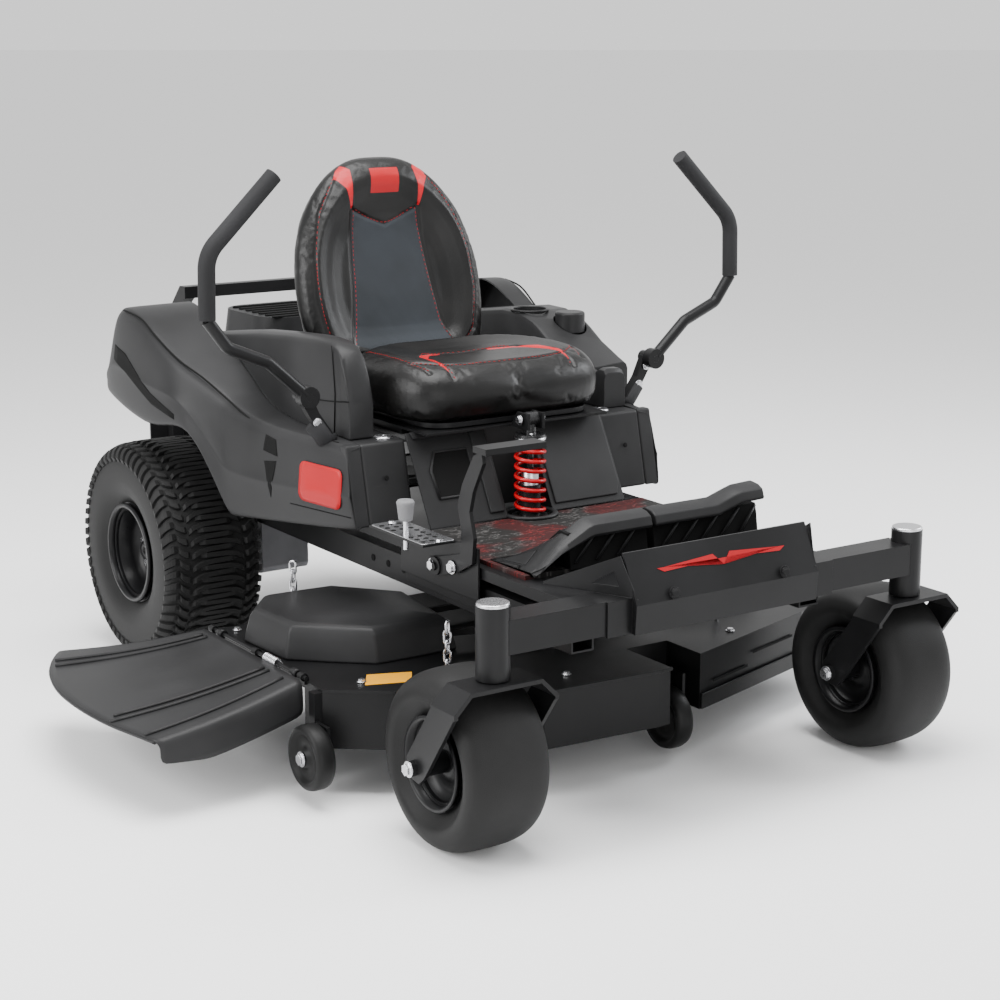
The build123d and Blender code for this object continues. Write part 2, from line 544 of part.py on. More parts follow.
# ---------------------------------------------------------------- wheels
for side, name in ((-1, "right"), (1, "left")):
    with BuildPart() as rear_tyre:
        tyre(REAR, side)
    write(rear_tyre, f"rear_tyre_{name}")

    with BuildPart() as rear_rim:
        rim(REAR, side, (30, 330, 402), 396)
        rod((side * 168, 0, REAR["r"]), (side, 0, 0), AXLE_R, 200)
    write(rear_rim, f"rear_rim_{name}")

    with BuildPart() as caster_tyre:
        tyre(CASTER, side)
    write(caster_tyre, f"caster_tyre_{name}")

    with BuildPart() as caster_rim:
        rim(CASTER, side, (20, CASTER["x"] - 92, CASTER["x"] + 92), CASTER["x"])
        rod((side * CASTER["x"] - 100, CASTER["y"], CASTER["r"]), (1, 0, 0), CASTER_BOLT_R + RUNNING, 200,
            mode=Mode.SUBTRACT)
    write(caster_rim, f"caster_rim_{name}")

    pivot_x = side * CASTER["x"]
    leg_in = FORK_LEG_X - FORK_PLATE
    with BuildPart() as caster_fork:
        crown = [(FORK_LEG_X, 288), (FORK_LEG_X, 297), (74, FORK_TOP), (-74, FORK_TOP), (-FORK_LEG_X, 297),
                 (-FORK_LEG_X, 288), (-leg_in, 288), (-leg_in, 294), (-71, FORK_TOP - FORK_PLATE),
                 (71, FORK_TOP - FORK_PLATE), (leg_in, 294), (leg_in, 288)]
        slab([(pivot_x + dx, z) for dx, z in crown], xz(FORK_Y[1]), FORK_Y[1] - FORK_Y[0])
        for leg in SIDES:
            leg_x = min(pivot_x + leg * leg_in, pivot_x + leg * FORK_LEG_X)
            slab(((FORK_Y[0], 292), (FORK_Y[1], 292), (-1322, 180), (-1324, 146), (-1362, 140), (-1380, 156)),
                 yz(leg_x), FORK_PLATE)
        rod((pivot_x - 118, CASTER["y"], CASTER["r"]), (1, 0, 0), CASTER_BOLT_R, 236)
        for leg in SIDES:
            rod((pivot_x + leg * FORK_LEG_X, CASTER["y"], CASTER["r"]), (leg, 0, 0), 14, 8)
        rod((pivot_x, CASTER_PIVOT_Y, FORK_TOP - 2), (0, 0, 1), STEM_R, 125)
        rod((pivot_x, CASTER_PIVOT_Y, FORK_TOP - 1), (0, 0, 1), 22, 2)
    write(caster_fork, f"caster_fork_{name}")

# ---------------------------------------------------------------- mower deck
with BuildPart() as deck_shell:
    with BuildSketch(Plane.XY.offset(DECK_Z[0])) as plan:
        with BuildLine():
            Polyline(*DECK_OUTLINE, close=True)
        make_face()
    extrude(amount=DECK_Z[1] - DECK_Z[0])
    with BuildSketch(Plane.XY.offset(DECK_Z[0])):
        offset(plan.sketch_local, -SHEET, kind=Kind.INTERSECTION)
    extrude(amount=DECK_Z[1] - DECK_Z[0] - SHEET, mode=Mode.SUBTRACT)
    block((-600, -570), (-930, -560), (DECK_Z[0] - 1, 196), mode=Mode.SUBTRACT)
    for x, y in SPINDLES.values():
        rod((x, y, DECK_Z[1] - 10), (0, 0, 1), 42, 20, mode=Mode.SUBTRACT)
    for y in (-940, -750, -560):                       # chute hinge knuckles
        rod((CHUTE_HINGE[0], y, CHUTE_HINGE[1]), (0, 1, 0), 8, 16)
        block((CHUTE_HINGE[0], -580), (y, y + 16), (205, CHUTE_HINGE[1]))
    rod((CHUTE_HINGE[0], CHUTE_Y[0], CHUTE_HINGE[1]), (0, 1, 0), 4, CHUTE_Y[1] - CHUTE_Y[0])
    x, y, z = SCALP_PLACES["right"]
    block((-601, -583), (-998, -976), (110, 205))
    block((x + 22, x + 29), (y - 20, -976), (z - 18, 150))
    rod((x + 24, y, z), (-1, 0, 0), SCALP["bolt_r"], 50)
    x, y, z = SCALP_PLACES["front"]
    block((x + 23, x + 30), (y - 16, -1108), (z - 16, 170))
    rod((x + 26, y, z), (-1, 0, 0), SCALP["bolt_r"], 50)
write(deck_shell, "deck_shell")

COVER_PLAN = ((-566, -640), (-556, -800), (-420, -925), (-235, -925), (-205, -700), (-320, -560), (-490, -548))
with BuildPart() as belt_covers:
    for shift, side in ((0.0, 1), (120.0, -1)):
        plan = [(side * x + shift, y) for x, y in COVER_PLAN[::side]]
        for drop, mode in ((0.0, Mode.ADD), (SHEET, Mode.SUBTRACT)):
            with BuildSketch(Plane.XY.offset(DECK_Z[1])):
                with BuildLine():
                    Polyline(*(pull_in(plan, drop)), close=True)
                make_face()
            extrude(amount=74 - drop, taper=10, mode=mode)
    with BuildSketch(Plane.XY.offset(PULLEY["z"] - 3)):  # the belt's way between the covers
        with Locations(*SPINDLES.values()):
            Circle(PULLEY["r"] + 16)
        make_hull()
    extrude(amount=PULLEY["h"] + 6, mode=Mode.SUBTRACT)
write(belt_covers, "belt_covers")

with BuildPart() as spindle_housings:
    for x, y in SPINDLES.values():
        rod((x, y, 150), (0, 0, 1), 41, 68)
        rod((x, y, DECK_Z[1]), (0, 0, 1), HOUSING_R, 7)
        rod((x, y, 140), (0, 0, 1), SPINDLE_R + RUNNING, 90, mode=Mode.SUBTRACT)
write(spindle_housings, "spindle_housings")

with BuildPart() as deck_belt:
    for grow, mode in ((11.0, Mode.ADD), (1.0, Mode.SUBTRACT)):
        with BuildSketch(Plane.XY.offset(PULLEY["z"] + 3)):
            with Locations(*SPINDLES.values()):
                Circle(PULLEY["r"] + grow)
            make_hull()
        extrude(amount=12, mode=mode)
write(deck_belt, "deck_belt")

for name, (x, y) in SPINDLES.items():
    with BuildPart() as spindle:
        rod((x, y, BLADE["z"] - 6), (0, 0, 1), SPINDLE_R, SPINDLE_TOP - BLADE["z"] + 6)
        with BuildSketch(Plane.XY.offset(BLADE["z"])):
            with Locations((x, y)):
                Circle(BLADE["r"])
                Rectangle(2 * BLADE["w"] / 2, 2 * BLADE["r"], mode=Mode.INTERSECT)
        extrude(amount=BLADE["t"])
        rod((x, y, PULLEY["z"]), (0, 0, 1), PULLEY["r"], PULLEY["h"])
    write(spindle, f"blade_spindle_{name}")

with BuildPart() as chute:
    drop = math.atan2(CHUTE_HINGE[1] - 4 - 150, CHUTE_HINGE[0] - 8 - CHUTE_EDGE_X)
    run = math.cos(drop)
    fall = Plane(origin=(CHUTE_HINGE[0] - 8, 0, CHUTE_HINGE[1] - 4), x_dir=(-run, 0, -math.sin(drop)),
                 z_dir=(math.sin(drop), 0, -run))
    reach = (CHUTE_HINGE[0] - 8 - CHUTE_EDGE_X) / run
    slab(((0, CHUTE_Y[0]), (306, CHUTE_Y[0] + 8), (reach * 0.976, -761), (reach, -560), (reach * 0.9, -410),
          (reach * 0.75, -330), (0, CHUTE_Y[1])), fall, SHEET)
    slab(((-598, 214), (-598, 150), (-660, 86), (-860, 86), (-905, 110), (-905, 154)), xz(CHUTE_Y[0] + SHEET), SHEET)
    for y in (-915, -600):                             # hinge ears round the rod
        rod((CHUTE_HINGE[0], y, CHUTE_HINGE[1]), (0, 1, 0), 8, 20)
        block((-604, CHUTE_HINGE[0]), (y, y + 20), (212, 219))
    rod((CHUTE_HINGE[0], -1000, CHUTE_HINGE[1]), (0, 1, 0), 4 + RUNNING, 600, mode=Mode.SUBTRACT)
write(chute, "chute")

for name, (x, y, z) in SCALP_PLACES.items():
    with BuildPart() as scalp_wheel:
        with BuildSketch(Plane(origin=(0, y, z), x_dir=(1, 0, 0), z_dir=(0, -1, 0))) as section:
            with Locations((x, SCALP["r"] / 2)):
                Rectangle(2 * SCALP["half_w"], SCALP["r"])
            fillet(section.vertices().group_by(Axis.Y)[-1], 9)
        revolve(axis=Axis((0, y, z), (1, 0, 0)))
        rod((x - 30, y, z), (1, 0, 0), SCALP["bolt_r"] + RUNNING, 60, mode=Mode.SUBTRACT)
    write(scalp_wheel, f"scalp_wheel_{name}")

with BuildPart() as hanger_chains:
    for x, y, top in ((-335, -1045, 318), (335, -1045, 318), (-400, -545, 345), (400, -545, 345)):
        rod((x, y, DECK_Z[1]), (0, 0, 1), 7, 12)
        rod((x, y, DECK_Z[1] + 10), (0, 0, 1), 4, top - DECK_Z[1] - 10)
write(hanger_chains, "hanger_chains")

# ---------------------------------------------------------------- foot lift and height pin
with BuildPart() as lift_bracket:
    px, py, pz = PEDAL_PIVOT
    block((-300, -295), (-1120, -840), (345, 372))
    block((-313, -295), (-1120, -840), (368, 372))
    block((-313, -309), (-1120, -840), (368, INDEX_Z + 4))
    block((-385, -309), (-1040, -840), (INDEX_Z, INDEX_Z + 4))
    rod((*PIN, INDEX_Z - 10), (0, 0, 1), PIN_R + RUNNING, 30, mode=Mode.SUBTRACT)
    rod((-309, py, pz), (-1, 0, 0), 8, 21)
write(lift_bracket, "lift_bracket")

with BuildPart() as lift_pedal:
    plane = yz(px - PEDAL_T / 2)
    stalk = ((-963, 396), (-963, 424), (-1000, 432), (-1070, 452), (-1076, 500), (-1062, 545), (-1080, 590),
             (-1118, 650), (-1146, 662), (-1150, 640), (-1116, 580), (-1104, 540), (-1118, 490), (-1112, 440),
             (-1060, 412), (-1000, 394))
    slab(stalk, plane, PEDAL_T)
    block((-322, -185), (-1160, -1116), (656, 668))
    rod((px - 8, py, pz), (1, 0, 0), 18, 12)
    rod((px - 12, py, pz), (1, 0, 0), 8 + RUNNING, 24, mode=Mode.SUBTRACT)
write(lift_pedal, "lift_pedal")

with BuildPart() as height_pin:
    rod((*PIN, INDEX_Z - 26), (0, 0, 1), PIN_R, 64)
    with BuildSketch(Plane.XY.offset(INDEX_Z + 34)):
        with Locations(PIN):
            Circle(11)
    extrude(amount=34, taper=-6)
write(height_pin, "height_pin")
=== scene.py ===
# %% [markdown]
# # Zero turn mower
# The exact model already holds every real size and every joint. This notebook adds the looks: tyre lugs, the coil
# spring, chain links, the sewn seat, moulded covers and the finishes of paint, plastic, rubber and vinyl.
# Lengths are written in millimetres from the middle of the rear axle on the ground, +X to the driver's left and
# +Y to the rear, and `at` turns them into the shared frame's metres.

# %% Load the frame
import bpy
import bmesh
import json
import math
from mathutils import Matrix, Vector


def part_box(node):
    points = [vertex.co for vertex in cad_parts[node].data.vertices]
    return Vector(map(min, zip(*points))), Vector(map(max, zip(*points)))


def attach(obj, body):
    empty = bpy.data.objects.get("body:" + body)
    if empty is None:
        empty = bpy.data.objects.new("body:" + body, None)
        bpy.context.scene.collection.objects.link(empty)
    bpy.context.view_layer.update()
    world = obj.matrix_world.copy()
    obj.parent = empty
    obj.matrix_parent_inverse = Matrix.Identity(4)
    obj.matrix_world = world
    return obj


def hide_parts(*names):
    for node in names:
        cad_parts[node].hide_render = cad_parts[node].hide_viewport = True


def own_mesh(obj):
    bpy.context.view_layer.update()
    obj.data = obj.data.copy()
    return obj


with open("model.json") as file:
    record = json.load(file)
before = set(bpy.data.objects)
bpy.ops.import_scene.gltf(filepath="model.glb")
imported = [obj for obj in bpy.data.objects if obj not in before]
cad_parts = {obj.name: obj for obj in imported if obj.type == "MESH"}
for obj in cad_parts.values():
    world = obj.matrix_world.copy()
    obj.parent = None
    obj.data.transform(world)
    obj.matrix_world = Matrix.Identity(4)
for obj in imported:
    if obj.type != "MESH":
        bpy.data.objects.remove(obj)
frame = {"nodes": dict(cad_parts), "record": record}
RIGHT_WHEEL, LEFT_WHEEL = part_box("rear_tyre_right"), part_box("rear_tyre_left")
AXLE = Vector(((RIGHT_WHEEL[0].x + LEFT_WHEEL[1].x) / 2, (LEFT_WHEEL[0].y + LEFT_WHEEL[1].y) / 2, 0))
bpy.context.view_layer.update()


def at(x, y, z):
    """A point in millimetres from the middle of the rear axle, as metres in the shared frame."""
    return AXLE + Vector((x, y, z)) / 1000


# %% [markdown]
# ## Camera
# The mower is seen from its front right corner, a little from above, with a long lens, so the far tyre looks nearly
# as large as the near one. A camera is placed by a location and by Euler angles.

# %% Camera
camera_data = bpy.data.cameras.new("camera")
camera_data.lens = 74.5
camera_data.sensor_width = 36
camera_data.clip_end = 100
camera = bpy.data.objects.new("camera", camera_data)
bpy.context.scene.collection.objects.link(camera)
camera.location = at(-2370, -4263, 1437)
camera.rotation_euler = (math.radians(76.93), 0, math.radians(-33.83))
bpy.context.scene.camera = camera
print("camera at", camera.location)

# %% [markdown]
# ## Studio
# Dark paint shows its shape only through what it mirrors, so the light comes from a few large soft panels: one
# overhead, one broad on the left, a cooler one on the right, and a low strip in front that lifts the undersides.

# %% Floor, sky and lights
floor_mesh = bpy.data.meshes.new("floor")
floor_mesh.from_pydata([(-200, -200, 0), (200, -200, 0), (200, 200, 0), (-200, 200, 0)], [], [(0, 1, 2, 3)])
floor = bpy.data.objects.new("floor", floor_mesh)
bpy.context.scene.collection.objects.link(floor)
floor_mat = bpy.data.materials.new("pale_floor")
floor_mat.use_nodes = True
floor_mat.node_tree.nodes["Principled BSDF"].inputs["Base Color"].default_value = (0.9, 0.9, 0.9, 1)
floor_mat.node_tree.nodes["Principled BSDF"].inputs["Roughness"].default_value = 0.9
floor_mat.node_tree.nodes["Principled BSDF"].inputs["Specular IOR Level"].default_value = 0.1
floor.data.materials.append(floor_mat)

sky = bpy.data.worlds.new("sky")
sky.use_nodes = True
sky.node_tree.nodes["Background"].inputs["Color"].default_value = (1, 1, 1, 1)
sky.node_tree.nodes["Background"].inputs["Strength"].default_value = 1.15
bpy.context.scene.world = sky


def lamp(name, place, target, size, power, tint=(1, 1, 1)):
    """A square soft light at place, looking at target."""
    data = bpy.data.lights.new(name, "AREA")
    data.size = size
    data.energy = power
    data.color = tint
    light = bpy.data.objects.new(name, data)
    light.location = place
    light.rotation_euler = (Vector(target) - Vector(place)).to_track_quat("-Z", "Y").to_euler()
    bpy.context.scene.collection.objects.link(light)
    return light


MIDDLE = at(0, -600, 450)
lamp("overhead", at(-300, -900, 3600), MIDDLE, 2.6, 240)
lamp("left_panel", at(-3400, -600, 1900), MIDDLE, 2.0, 130)
lamp("right_panel", at(3200, -1600, 2300), MIDDLE, 1.6, 90, (0.95, 0.97, 1))
lamp("low_front", at(-900, -4200, 900), MIDDLE, 1.6, 25)

# %% [markdown]
# ## Shared surface effects
# Several finishes share the same small effects, so each one is a node group that is built once. `moulded_grain` is
# the fine pebble of injection moulded covers and sprayed paint. `use_marks` is the slow cloudiness and the faint
# scuffs that every handled surface has. Both read Object coordinates, so they need no UV map.


# %% Node helpers
def wire(tree, source, target):
    tree.links.new(source, target)


def new_group(name, inputs, outputs):
    """An empty shader group with float inputs {name: value} and outputs [name]."""
    group = bpy.data.node_groups.new(name, "ShaderNodeTree")
    for label, value in inputs.items():
        socket = group.interface.new_socket(label, in_out="INPUT", socket_type="NodeSocketFloat")
        socket.default_value = value
    for label in outputs:
        group.interface.new_socket(label, in_out="OUTPUT", socket_type="NodeSocketFloat")
    return group, group.nodes.new("NodeGroupInput"), group.nodes.new("NodeGroupOutput")


def math_node(tree, kind, first, second=None, third=None):
    """A Math node whose inputs are numbers or sockets, giving its output socket."""
    node = tree.nodes.new("ShaderNodeMath")
    node.operation = kind
    for socket, value in zip(node.inputs, (first, second, third)):
        if isinstance(value, (int, float)):
            socket.default_value = value
        elif value is not None:
            wire(tree, value, socket)
    return node.outputs[0]


def map_range(tree, value, low, high, to_low=0.0, to_high=1.0):
    """A clamped Map Range node, giving its output socket."""
    node = tree.nodes.new("ShaderNodeMapRange")
    wire(tree, value, node.inputs["Value"])
    for label, number in (("From Min", low), ("From Max", high), ("To Min", to_low), ("To Max", to_high)):
        if isinstance(number, (int, float)):
            node.inputs[label].default_value = number
        else:
            wire(tree, number, node.inputs[label])
    return node.outputs["Result"]


def noise_node(tree, place, scale, detail=3.0, rough=0.5):
    node = tree.nodes.new("ShaderNodeTexNoise")
    node.inputs["Detail"].default_value = detail
    node.inputs["Roughness"].default_value = rough
    wire(tree, place, node.inputs["Vector"])
    if isinstance(scale, (int, float)):
        node.inputs["Scale"].default_value = scale
    else:
        wire(tree, scale, node.inputs["Scale"])
    return node.outputs["Fac"]


# %% Group: moulded grain
grain, grain_in, grain_out = new_group("moulded_grain", {"Scale": 900.0, "Depth": 1.0}, ["Height", "Gloss"])
coords = grain.nodes.new("ShaderNodeTexCoord").outputs["Object"]
pebble = grain.nodes.new("ShaderNodeTexVoronoi")
pebble.feature = "SMOOTH_F1"
wire(grain, coords, pebble.inputs["Vector"])
wire(grain, grain_in.outputs["Scale"], pebble.inputs["Scale"])
speck = noise_node(grain, coords, grain_in.outputs["Scale"], 2.0)
mixed = math_node(grain, "MULTIPLY_ADD", pebble.outputs["Distance"], 0.7, speck)
wire(grain, math_node(grain, "MULTIPLY", mixed, grain_in.outputs["Depth"]), grain_out.inputs["Height"])
wire(grain, map_range(grain, speck, 0.3, 0.7, -1.0, 1.0), grain_out.inputs["Gloss"])
print("group", grain.name, "has", len(grain.nodes), "nodes")

# %% Group: use marks
marks, marks_in, marks_out = new_group("use_marks", {"Size": 6.0, "Scuffs": 0.5}, ["Cloud", "Scuff"])
coords = marks.nodes.new("ShaderNodeTexCoord").outputs["Object"]
cloud = noise_node(marks, coords, marks_in.outputs["Size"], 4.0)
wire(marks, map_range(marks, cloud, 0.3, 0.7), marks_out.inputs["Cloud"])
streak_map = marks.nodes.new("ShaderNodeMapping")
streak_map.inputs["Scale"].default_value = (14, 60, 220)
wire(marks, coords, streak_map.inputs["Vector"])
streak = noise_node(marks, streak_map.outputs["Vector"], 1.0, 5.0, 0.65)
thin = map_range(marks, streak, 0.66, 0.78)
wire(marks, math_node(marks, "MULTIPLY", thin, marks_in.outputs["Scuffs"]), marks_out.inputs["Scuff"])
print("group", marks.name, "has", len(marks.nodes), "nodes")

# %% [markdown]
# ## One recipe for the plain finishes
# Most surfaces here are a base colour, a second colour in soft clouds, a gloss that varies a little and a bump from
# the grain. `finish_of` wires these once. A Bevel node softens the normals along the sharp edges of sheet and cast
# pieces, so that each edge catches the light as a real rounded edge does.


# %% Finish recipe
def shade(colour, factor):
    return tuple(min(1.0, c * factor) for c in colour[:3]) + (1.0,)


def finish_of(name, colour, rough, metal=0.0, grain_scale=900.0, bump=0.0003, cloud=0.25, cloud_size=6.0,
              scuffs=0.4, edge=0.0015, spread=0.08, **sockets):
    """A material with grain, clouds and scuffs; sockets are more Principled inputs by name."""
    mat = bpy.data.materials.new(name)
    mat.use_nodes = True
    tree = mat.node_tree
    bsdf = tree.nodes["Principled BSDF"]
    bsdf.inputs["Metallic"].default_value = metal
    bsdf.inputs["Specular IOR Level"].default_value = 0.5 if metal else 0.16
    for label, value in sockets.items():
        bsdf.inputs[label.replace("_", " ")].default_value = value
    marked = tree.nodes.new("ShaderNodeGroup")
    marked.node_tree = marks
    marked.inputs["Size"].default_value = cloud_size
    marked.inputs["Scuffs"].default_value = scuffs
    grained = tree.nodes.new("ShaderNodeGroup")
    grained.node_tree = grain
    grained.inputs["Scale"].default_value = grain_scale
    tint = tree.nodes.new("ShaderNodeMix")
    tint.data_type = "RGBA"
    tint.inputs["A"].default_value = shade(colour, 1 - cloud)
    tint.inputs["B"].default_value = shade(colour, 1 + cloud)
    wire(tree, marked.outputs["Cloud"], tint.inputs["Factor"])
    worn = tree.nodes.new("ShaderNodeMix")
    worn.data_type = "RGBA"
    worn.inputs["B"].default_value = shade(colour, 1.9)
    wire(tree, marked.outputs["Scuff"], worn.inputs["Factor"])
    wire(tree, tint.outputs["Result"], worn.inputs["A"])
    wire(tree, worn.outputs["Result"], bsdf.inputs["Base Color"])
    gloss = math_node(tree, "MULTIPLY_ADD", grained.outputs["Gloss"], spread * 0.4, rough)
    gloss = math_node(tree, "MULTIPLY_ADD", marked.outputs["Cloud"], spread, gloss)
    wire(tree, math_node(tree, "MULTIPLY_ADD", marked.outputs["Scuff"], 0.15, gloss), bsdf.inputs["Roughness"])
    bumped = tree.nodes.new("ShaderNodeBump")
    bumped.inputs["Distance"].default_value = bump
    bumped.inputs["Strength"].default_value = 0.6
    wire(tree, grained.outputs["Height"], bumped.inputs["Height"])
    if edge:
        rounded = tree.nodes.new("ShaderNodeBevel")
        rounded.samples = 3
        rounded.inputs["Radius"].default_value = edge
        wire(tree, rounded.outputs["Normal"], bumped.inputs["Normal"])
    wire(tree, bumped.outputs["Normal"], bsdf.inputs["Normal"])
    return mat


# %% Paints, plastics, rubbers and metals
MATERIALS = {
    "body_plastic": finish_of("body_plastic", (0.0165, 0.0165, 0.017), 0.36, bump=0.0002, edge=0.003),
    "frame_paint": finish_of("frame_paint", (0.0080, 0.0080, 0.0084), 0.32, grain_scale=500, bump=0.00015),
    "rim_paint": finish_of("rim_paint", (0.006, 0.006, 0.0065), 0.3, grain_scale=400, bump=0.00012),
    "deck_paint": finish_of("deck_paint", (0.0055, 0.0055, 0.0058), 0.34, grain_scale=450, bump=0.0002),
    "wheel_plastic": finish_of("wheel_plastic", (0.007, 0.007, 0.007), 0.42, grain_scale=700),
    "grip_foam": finish_of("grip_foam", (0.016, 0.016, 0.017), 0.62, grain_scale=1600, bump=0.0008, edge=0),
    "tyre_rubber": finish_of("tyre_rubber", (0.010, 0.010, 0.010), 0.52, grain_scale=600, bump=0.0004, cloud=0.35),
    "belt_rubber": finish_of("belt_rubber", (0.012, 0.012, 0.012), 0.7, grain_scale=1200, bump=0.0004),
    "bright_steel": finish_of("bright_steel", (0.62, 0.62, 0.64), 0.24, 1.0, 300, 0.0001, scuffs=0.1, cloud=0.1),
    "muffler_steel": finish_of("muffler_steel", (0.30, 0.27, 0.24), 0.42, 1.0, 300, 0.0002),
    "shock_metal": finish_of("shock_metal", (0.02, 0.02, 0.021), 0.25, 0.4, 300, 0.0001),
    "spring_red": finish_of("spring_red", (0.42, 0.003, 0.008), 0.26, grain_scale=500, bump=0.0001, cloud=0.12,
                            scuffs=0.1, Coat_Weight=0.25),
    "engine_alloy": finish_of("engine_alloy", (0.20, 0.20, 0.21), 0.45, 0.8, 350, 0.0005),
}
SLOT_OF = {part["node"]: part["material_slot"] for part in frame["record"]["subparts"]}
for node, obj in frame["nodes"].items():
    obj.data.materials.clear()
    obj.data.materials.append(MATERIALS.get(SLOT_OF[node], MATERIALS["body_plastic"]))
frame["nodes"]["front_guard_bolts"].data.materials[0] = MATERIALS["frame_paint"]
print(len(MATERIALS), "finishes on", len(frame["nodes"]), "pieces")

# %% [markdown]
# ## Making pieces
# Every piece is a plain mesh whose object stays at the origin, with its place in its vertices. `mesh_object` builds
# one from lists and turns its faces outwards, and `dress` gives it its material and ties it to the body that it moves
# with.


# %% Piece helpers
def dress(obj, material, body, nodes=(), smooth=True):
    """Give a finished piece its material, its shading and the body it rides on, and hide the exact nodes it stands for.
    """
    if material is not None:
        obj.data.materials.clear()
        obj.data.materials.append(material)
    obj.data.shade_smooth() if smooth else obj.data.shade_flat()
    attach(obj, body)
    if nodes:
        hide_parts(*nodes)
    return obj


def mesh_object(name, points, faces, outward=True):
    """A mesh object from points in millimetres; outward recalculates the normals of a closed shape."""
    data = bpy.data.meshes.new(name)
    data.from_pydata([at(*p) for p in points], [], faces)
    work = bmesh.new()
    work.from_mesh(data)
    bmesh.ops.remove_doubles(work, verts=work.verts, dist=1e-6)
    if outward:
        bmesh.ops.recalc_face_normals(work, faces=work.faces)
    work.to_mesh(data)
    work.free()
    obj = bpy.data.objects.new(name, data)
    bpy.context.scene.collection.objects.link(obj)
    return obj


def keep_result(obj):
    """Turn an object and its modifiers into a plain mesh."""
    bpy.context.view_layer.update()
    result = bpy.data.meshes.new_from_object(obj.evaluated_get(bpy.context.evaluated_depsgraph_get()))
    result.name = obj.name
    obj.modifiers.clear()
    obj.data = result
    return obj


def add_modifier(obj, kind, **settings):
    modifier = obj.modifiers.new(kind.lower(), kind)
    for label, value in settings.items():
        setattr(modifier, label, value)
    return modifier


def round_edges(obj, width, segments=3, angle=30):
    """A live Bevel in millimetres on the edges sharper than an angle."""
    return add_modifier(obj, "BEVEL", width=width / 1000, segments=segments, limit_method="ANGLE",
                        angle_limit=math.radians(angle), harden_normals=True)


def loft(rings, closed=True, caps=True):
    """Points and faces of a skin over rings that all have the same number of points."""
    count = len(rings[0])
    points = [p for ring in rings for p in ring]
    faces = []
    for row in range(len(rings) - 1):
        for i in range(count if closed else count - 1):
            j = (i + 1) % count
            faces.append((row * count + i, row * count + j, (row + 1) * count + j, (row + 1) * count + i))
    if caps:
        faces.append(tuple(range(count)))
        faces.append(tuple(range(len(points) - count, len(points))))
    return points, faces


def plate(name, outline, place, depth, material, body, nodes=(), bevel=1.0):
    """A flat plate: an outline of (u, v) and a function place(u, v, w) into millimetres."""
    rings = [[place(u, v, w) for u, v in outline] for w in (0, depth)]
    obj = mesh_object(name, *loft(rings))
    if bevel:
        round_edges(obj, bevel, 2)
    return dress(obj, material, body, nodes, smooth=False)


def smooth_curve(points, per_span=8, closed=False):
    """Catmull-Rom points through the given points."""
    count = len(points)
    result = []
    for i in range(count if closed else count - 1):
        quad = [points[(i + k) % count] if closed else points[min(max(i + k, 0), count - 1)] for k in (-1, 0, 1, 2)]
        for step in range(per_span):
            t = step / per_span
            result.append(tuple(
                0.5 * (2 * b + (c - a) * t + (2 * a - 5 * b + 4 * c - d) * t * t + (3 * b - a - 3 * c + d) * t ** 3)
                for a, b, c, d in zip(*quad)))
    if not closed:
        result.append(tuple(points[-1]))
    return result


def lathe(name, profile, middle, steps=96):
    """A closed profile of (radius, along x) turned about the line through middle along X."""
    points = []
    faces = []
    count = len(profile)
    for step in range(steps):
        angle = 2 * math.pi * step / steps
        for radius, along in profile:
            points.append((middle[0] + along, middle[1] + radius * math.cos(angle),
                           middle[2] + radius * math.sin(angle)))
    for step in range(steps):
        ahead = (step + 1) % steps
        for i in range(count):
            j = (i + 1) % count
            faces.append((step * count + i, step * count + j, ahead * count + j, ahead * count + i))
    return mesh_object(name, points, faces)


def drape(name, outline, surface, cast, lift, material, body, wall=1.2, rings=6):
    """A thin plate that lies on a surface: an outline in (u, v), and cast(u, v) giving a start and a direction."""
    middle = (sum(p[0] for p in outline) / len(outline), sum(p[1] for p in outline) / len(outline))
    loops = []
    depth = None
    for k in range(rings + 1):
        reach = max(k / rings, 0.02)
        loop = []
        for u, v in outline:
            start, towards = cast(middle[0] + (u - middle[0]) * reach, middle[1] + (v - middle[1]) * reach)
            hit, spot, _, _ = surface.ray_cast(start, towards)
            depth = (spot - start).length if hit else depth
            loop.append(tuple((start + towards * (depth - lift / 1000) - AXLE) * 1000))
        loops.append(loop)
    points, faces = loft(loops, caps=False)
    faces.append(tuple(range(len(outline))))
    obj = mesh_object(name, points, faces)
    add_modifier(obj, "SOLIDIFY", thickness=wall / 1000, offset=1.0)
    return dress(obj, material, body)


def dense(outline, parts=4):
    """A closed outline with more points along its straight sides."""
    return [tuple(p + (q - p) * k / parts for p, q in zip(a, b))
            for a, b in zip(outline, outline[1:] + outline[:1]) for k in range(parts)]


def from_right(y, z):
    """Cast towards the machine's middle from its right."""
    return at(-700, y, z), Vector((1, 0, 0))


def from_above(x, y):
    return at(x, y, 1000), Vector((0, 0, -1))


def lay_line(points, surface, cast, lift):
    """Points in (u, v) moved onto a surface, in millimetres."""
    laid = []
    for u, v in points:
        start, towards = cast(u, v)
        hit, spot, _, _ = surface.ray_cast(start, towards)
        if hit:
            laid.append(tuple((spot - towards * lift / 1000 - AXLE) * 1000))
    return laid


print("helpers ready")

# %% [markdown]
# ## Tyres
# The rear tyres are wide and square with a close pattern of angled lugs that run over the shoulders; the front
# casters are smooth and rounder. A tyre is a closed profile turned about its axle. The lugs repeat round it, so one
# lug that follows the profile is made in code, and a Geometry Nodes tree sets copies of it round a circle, with
# every second one mirrored. The profile is a superellipse: a higher power gives squarer shoulders.


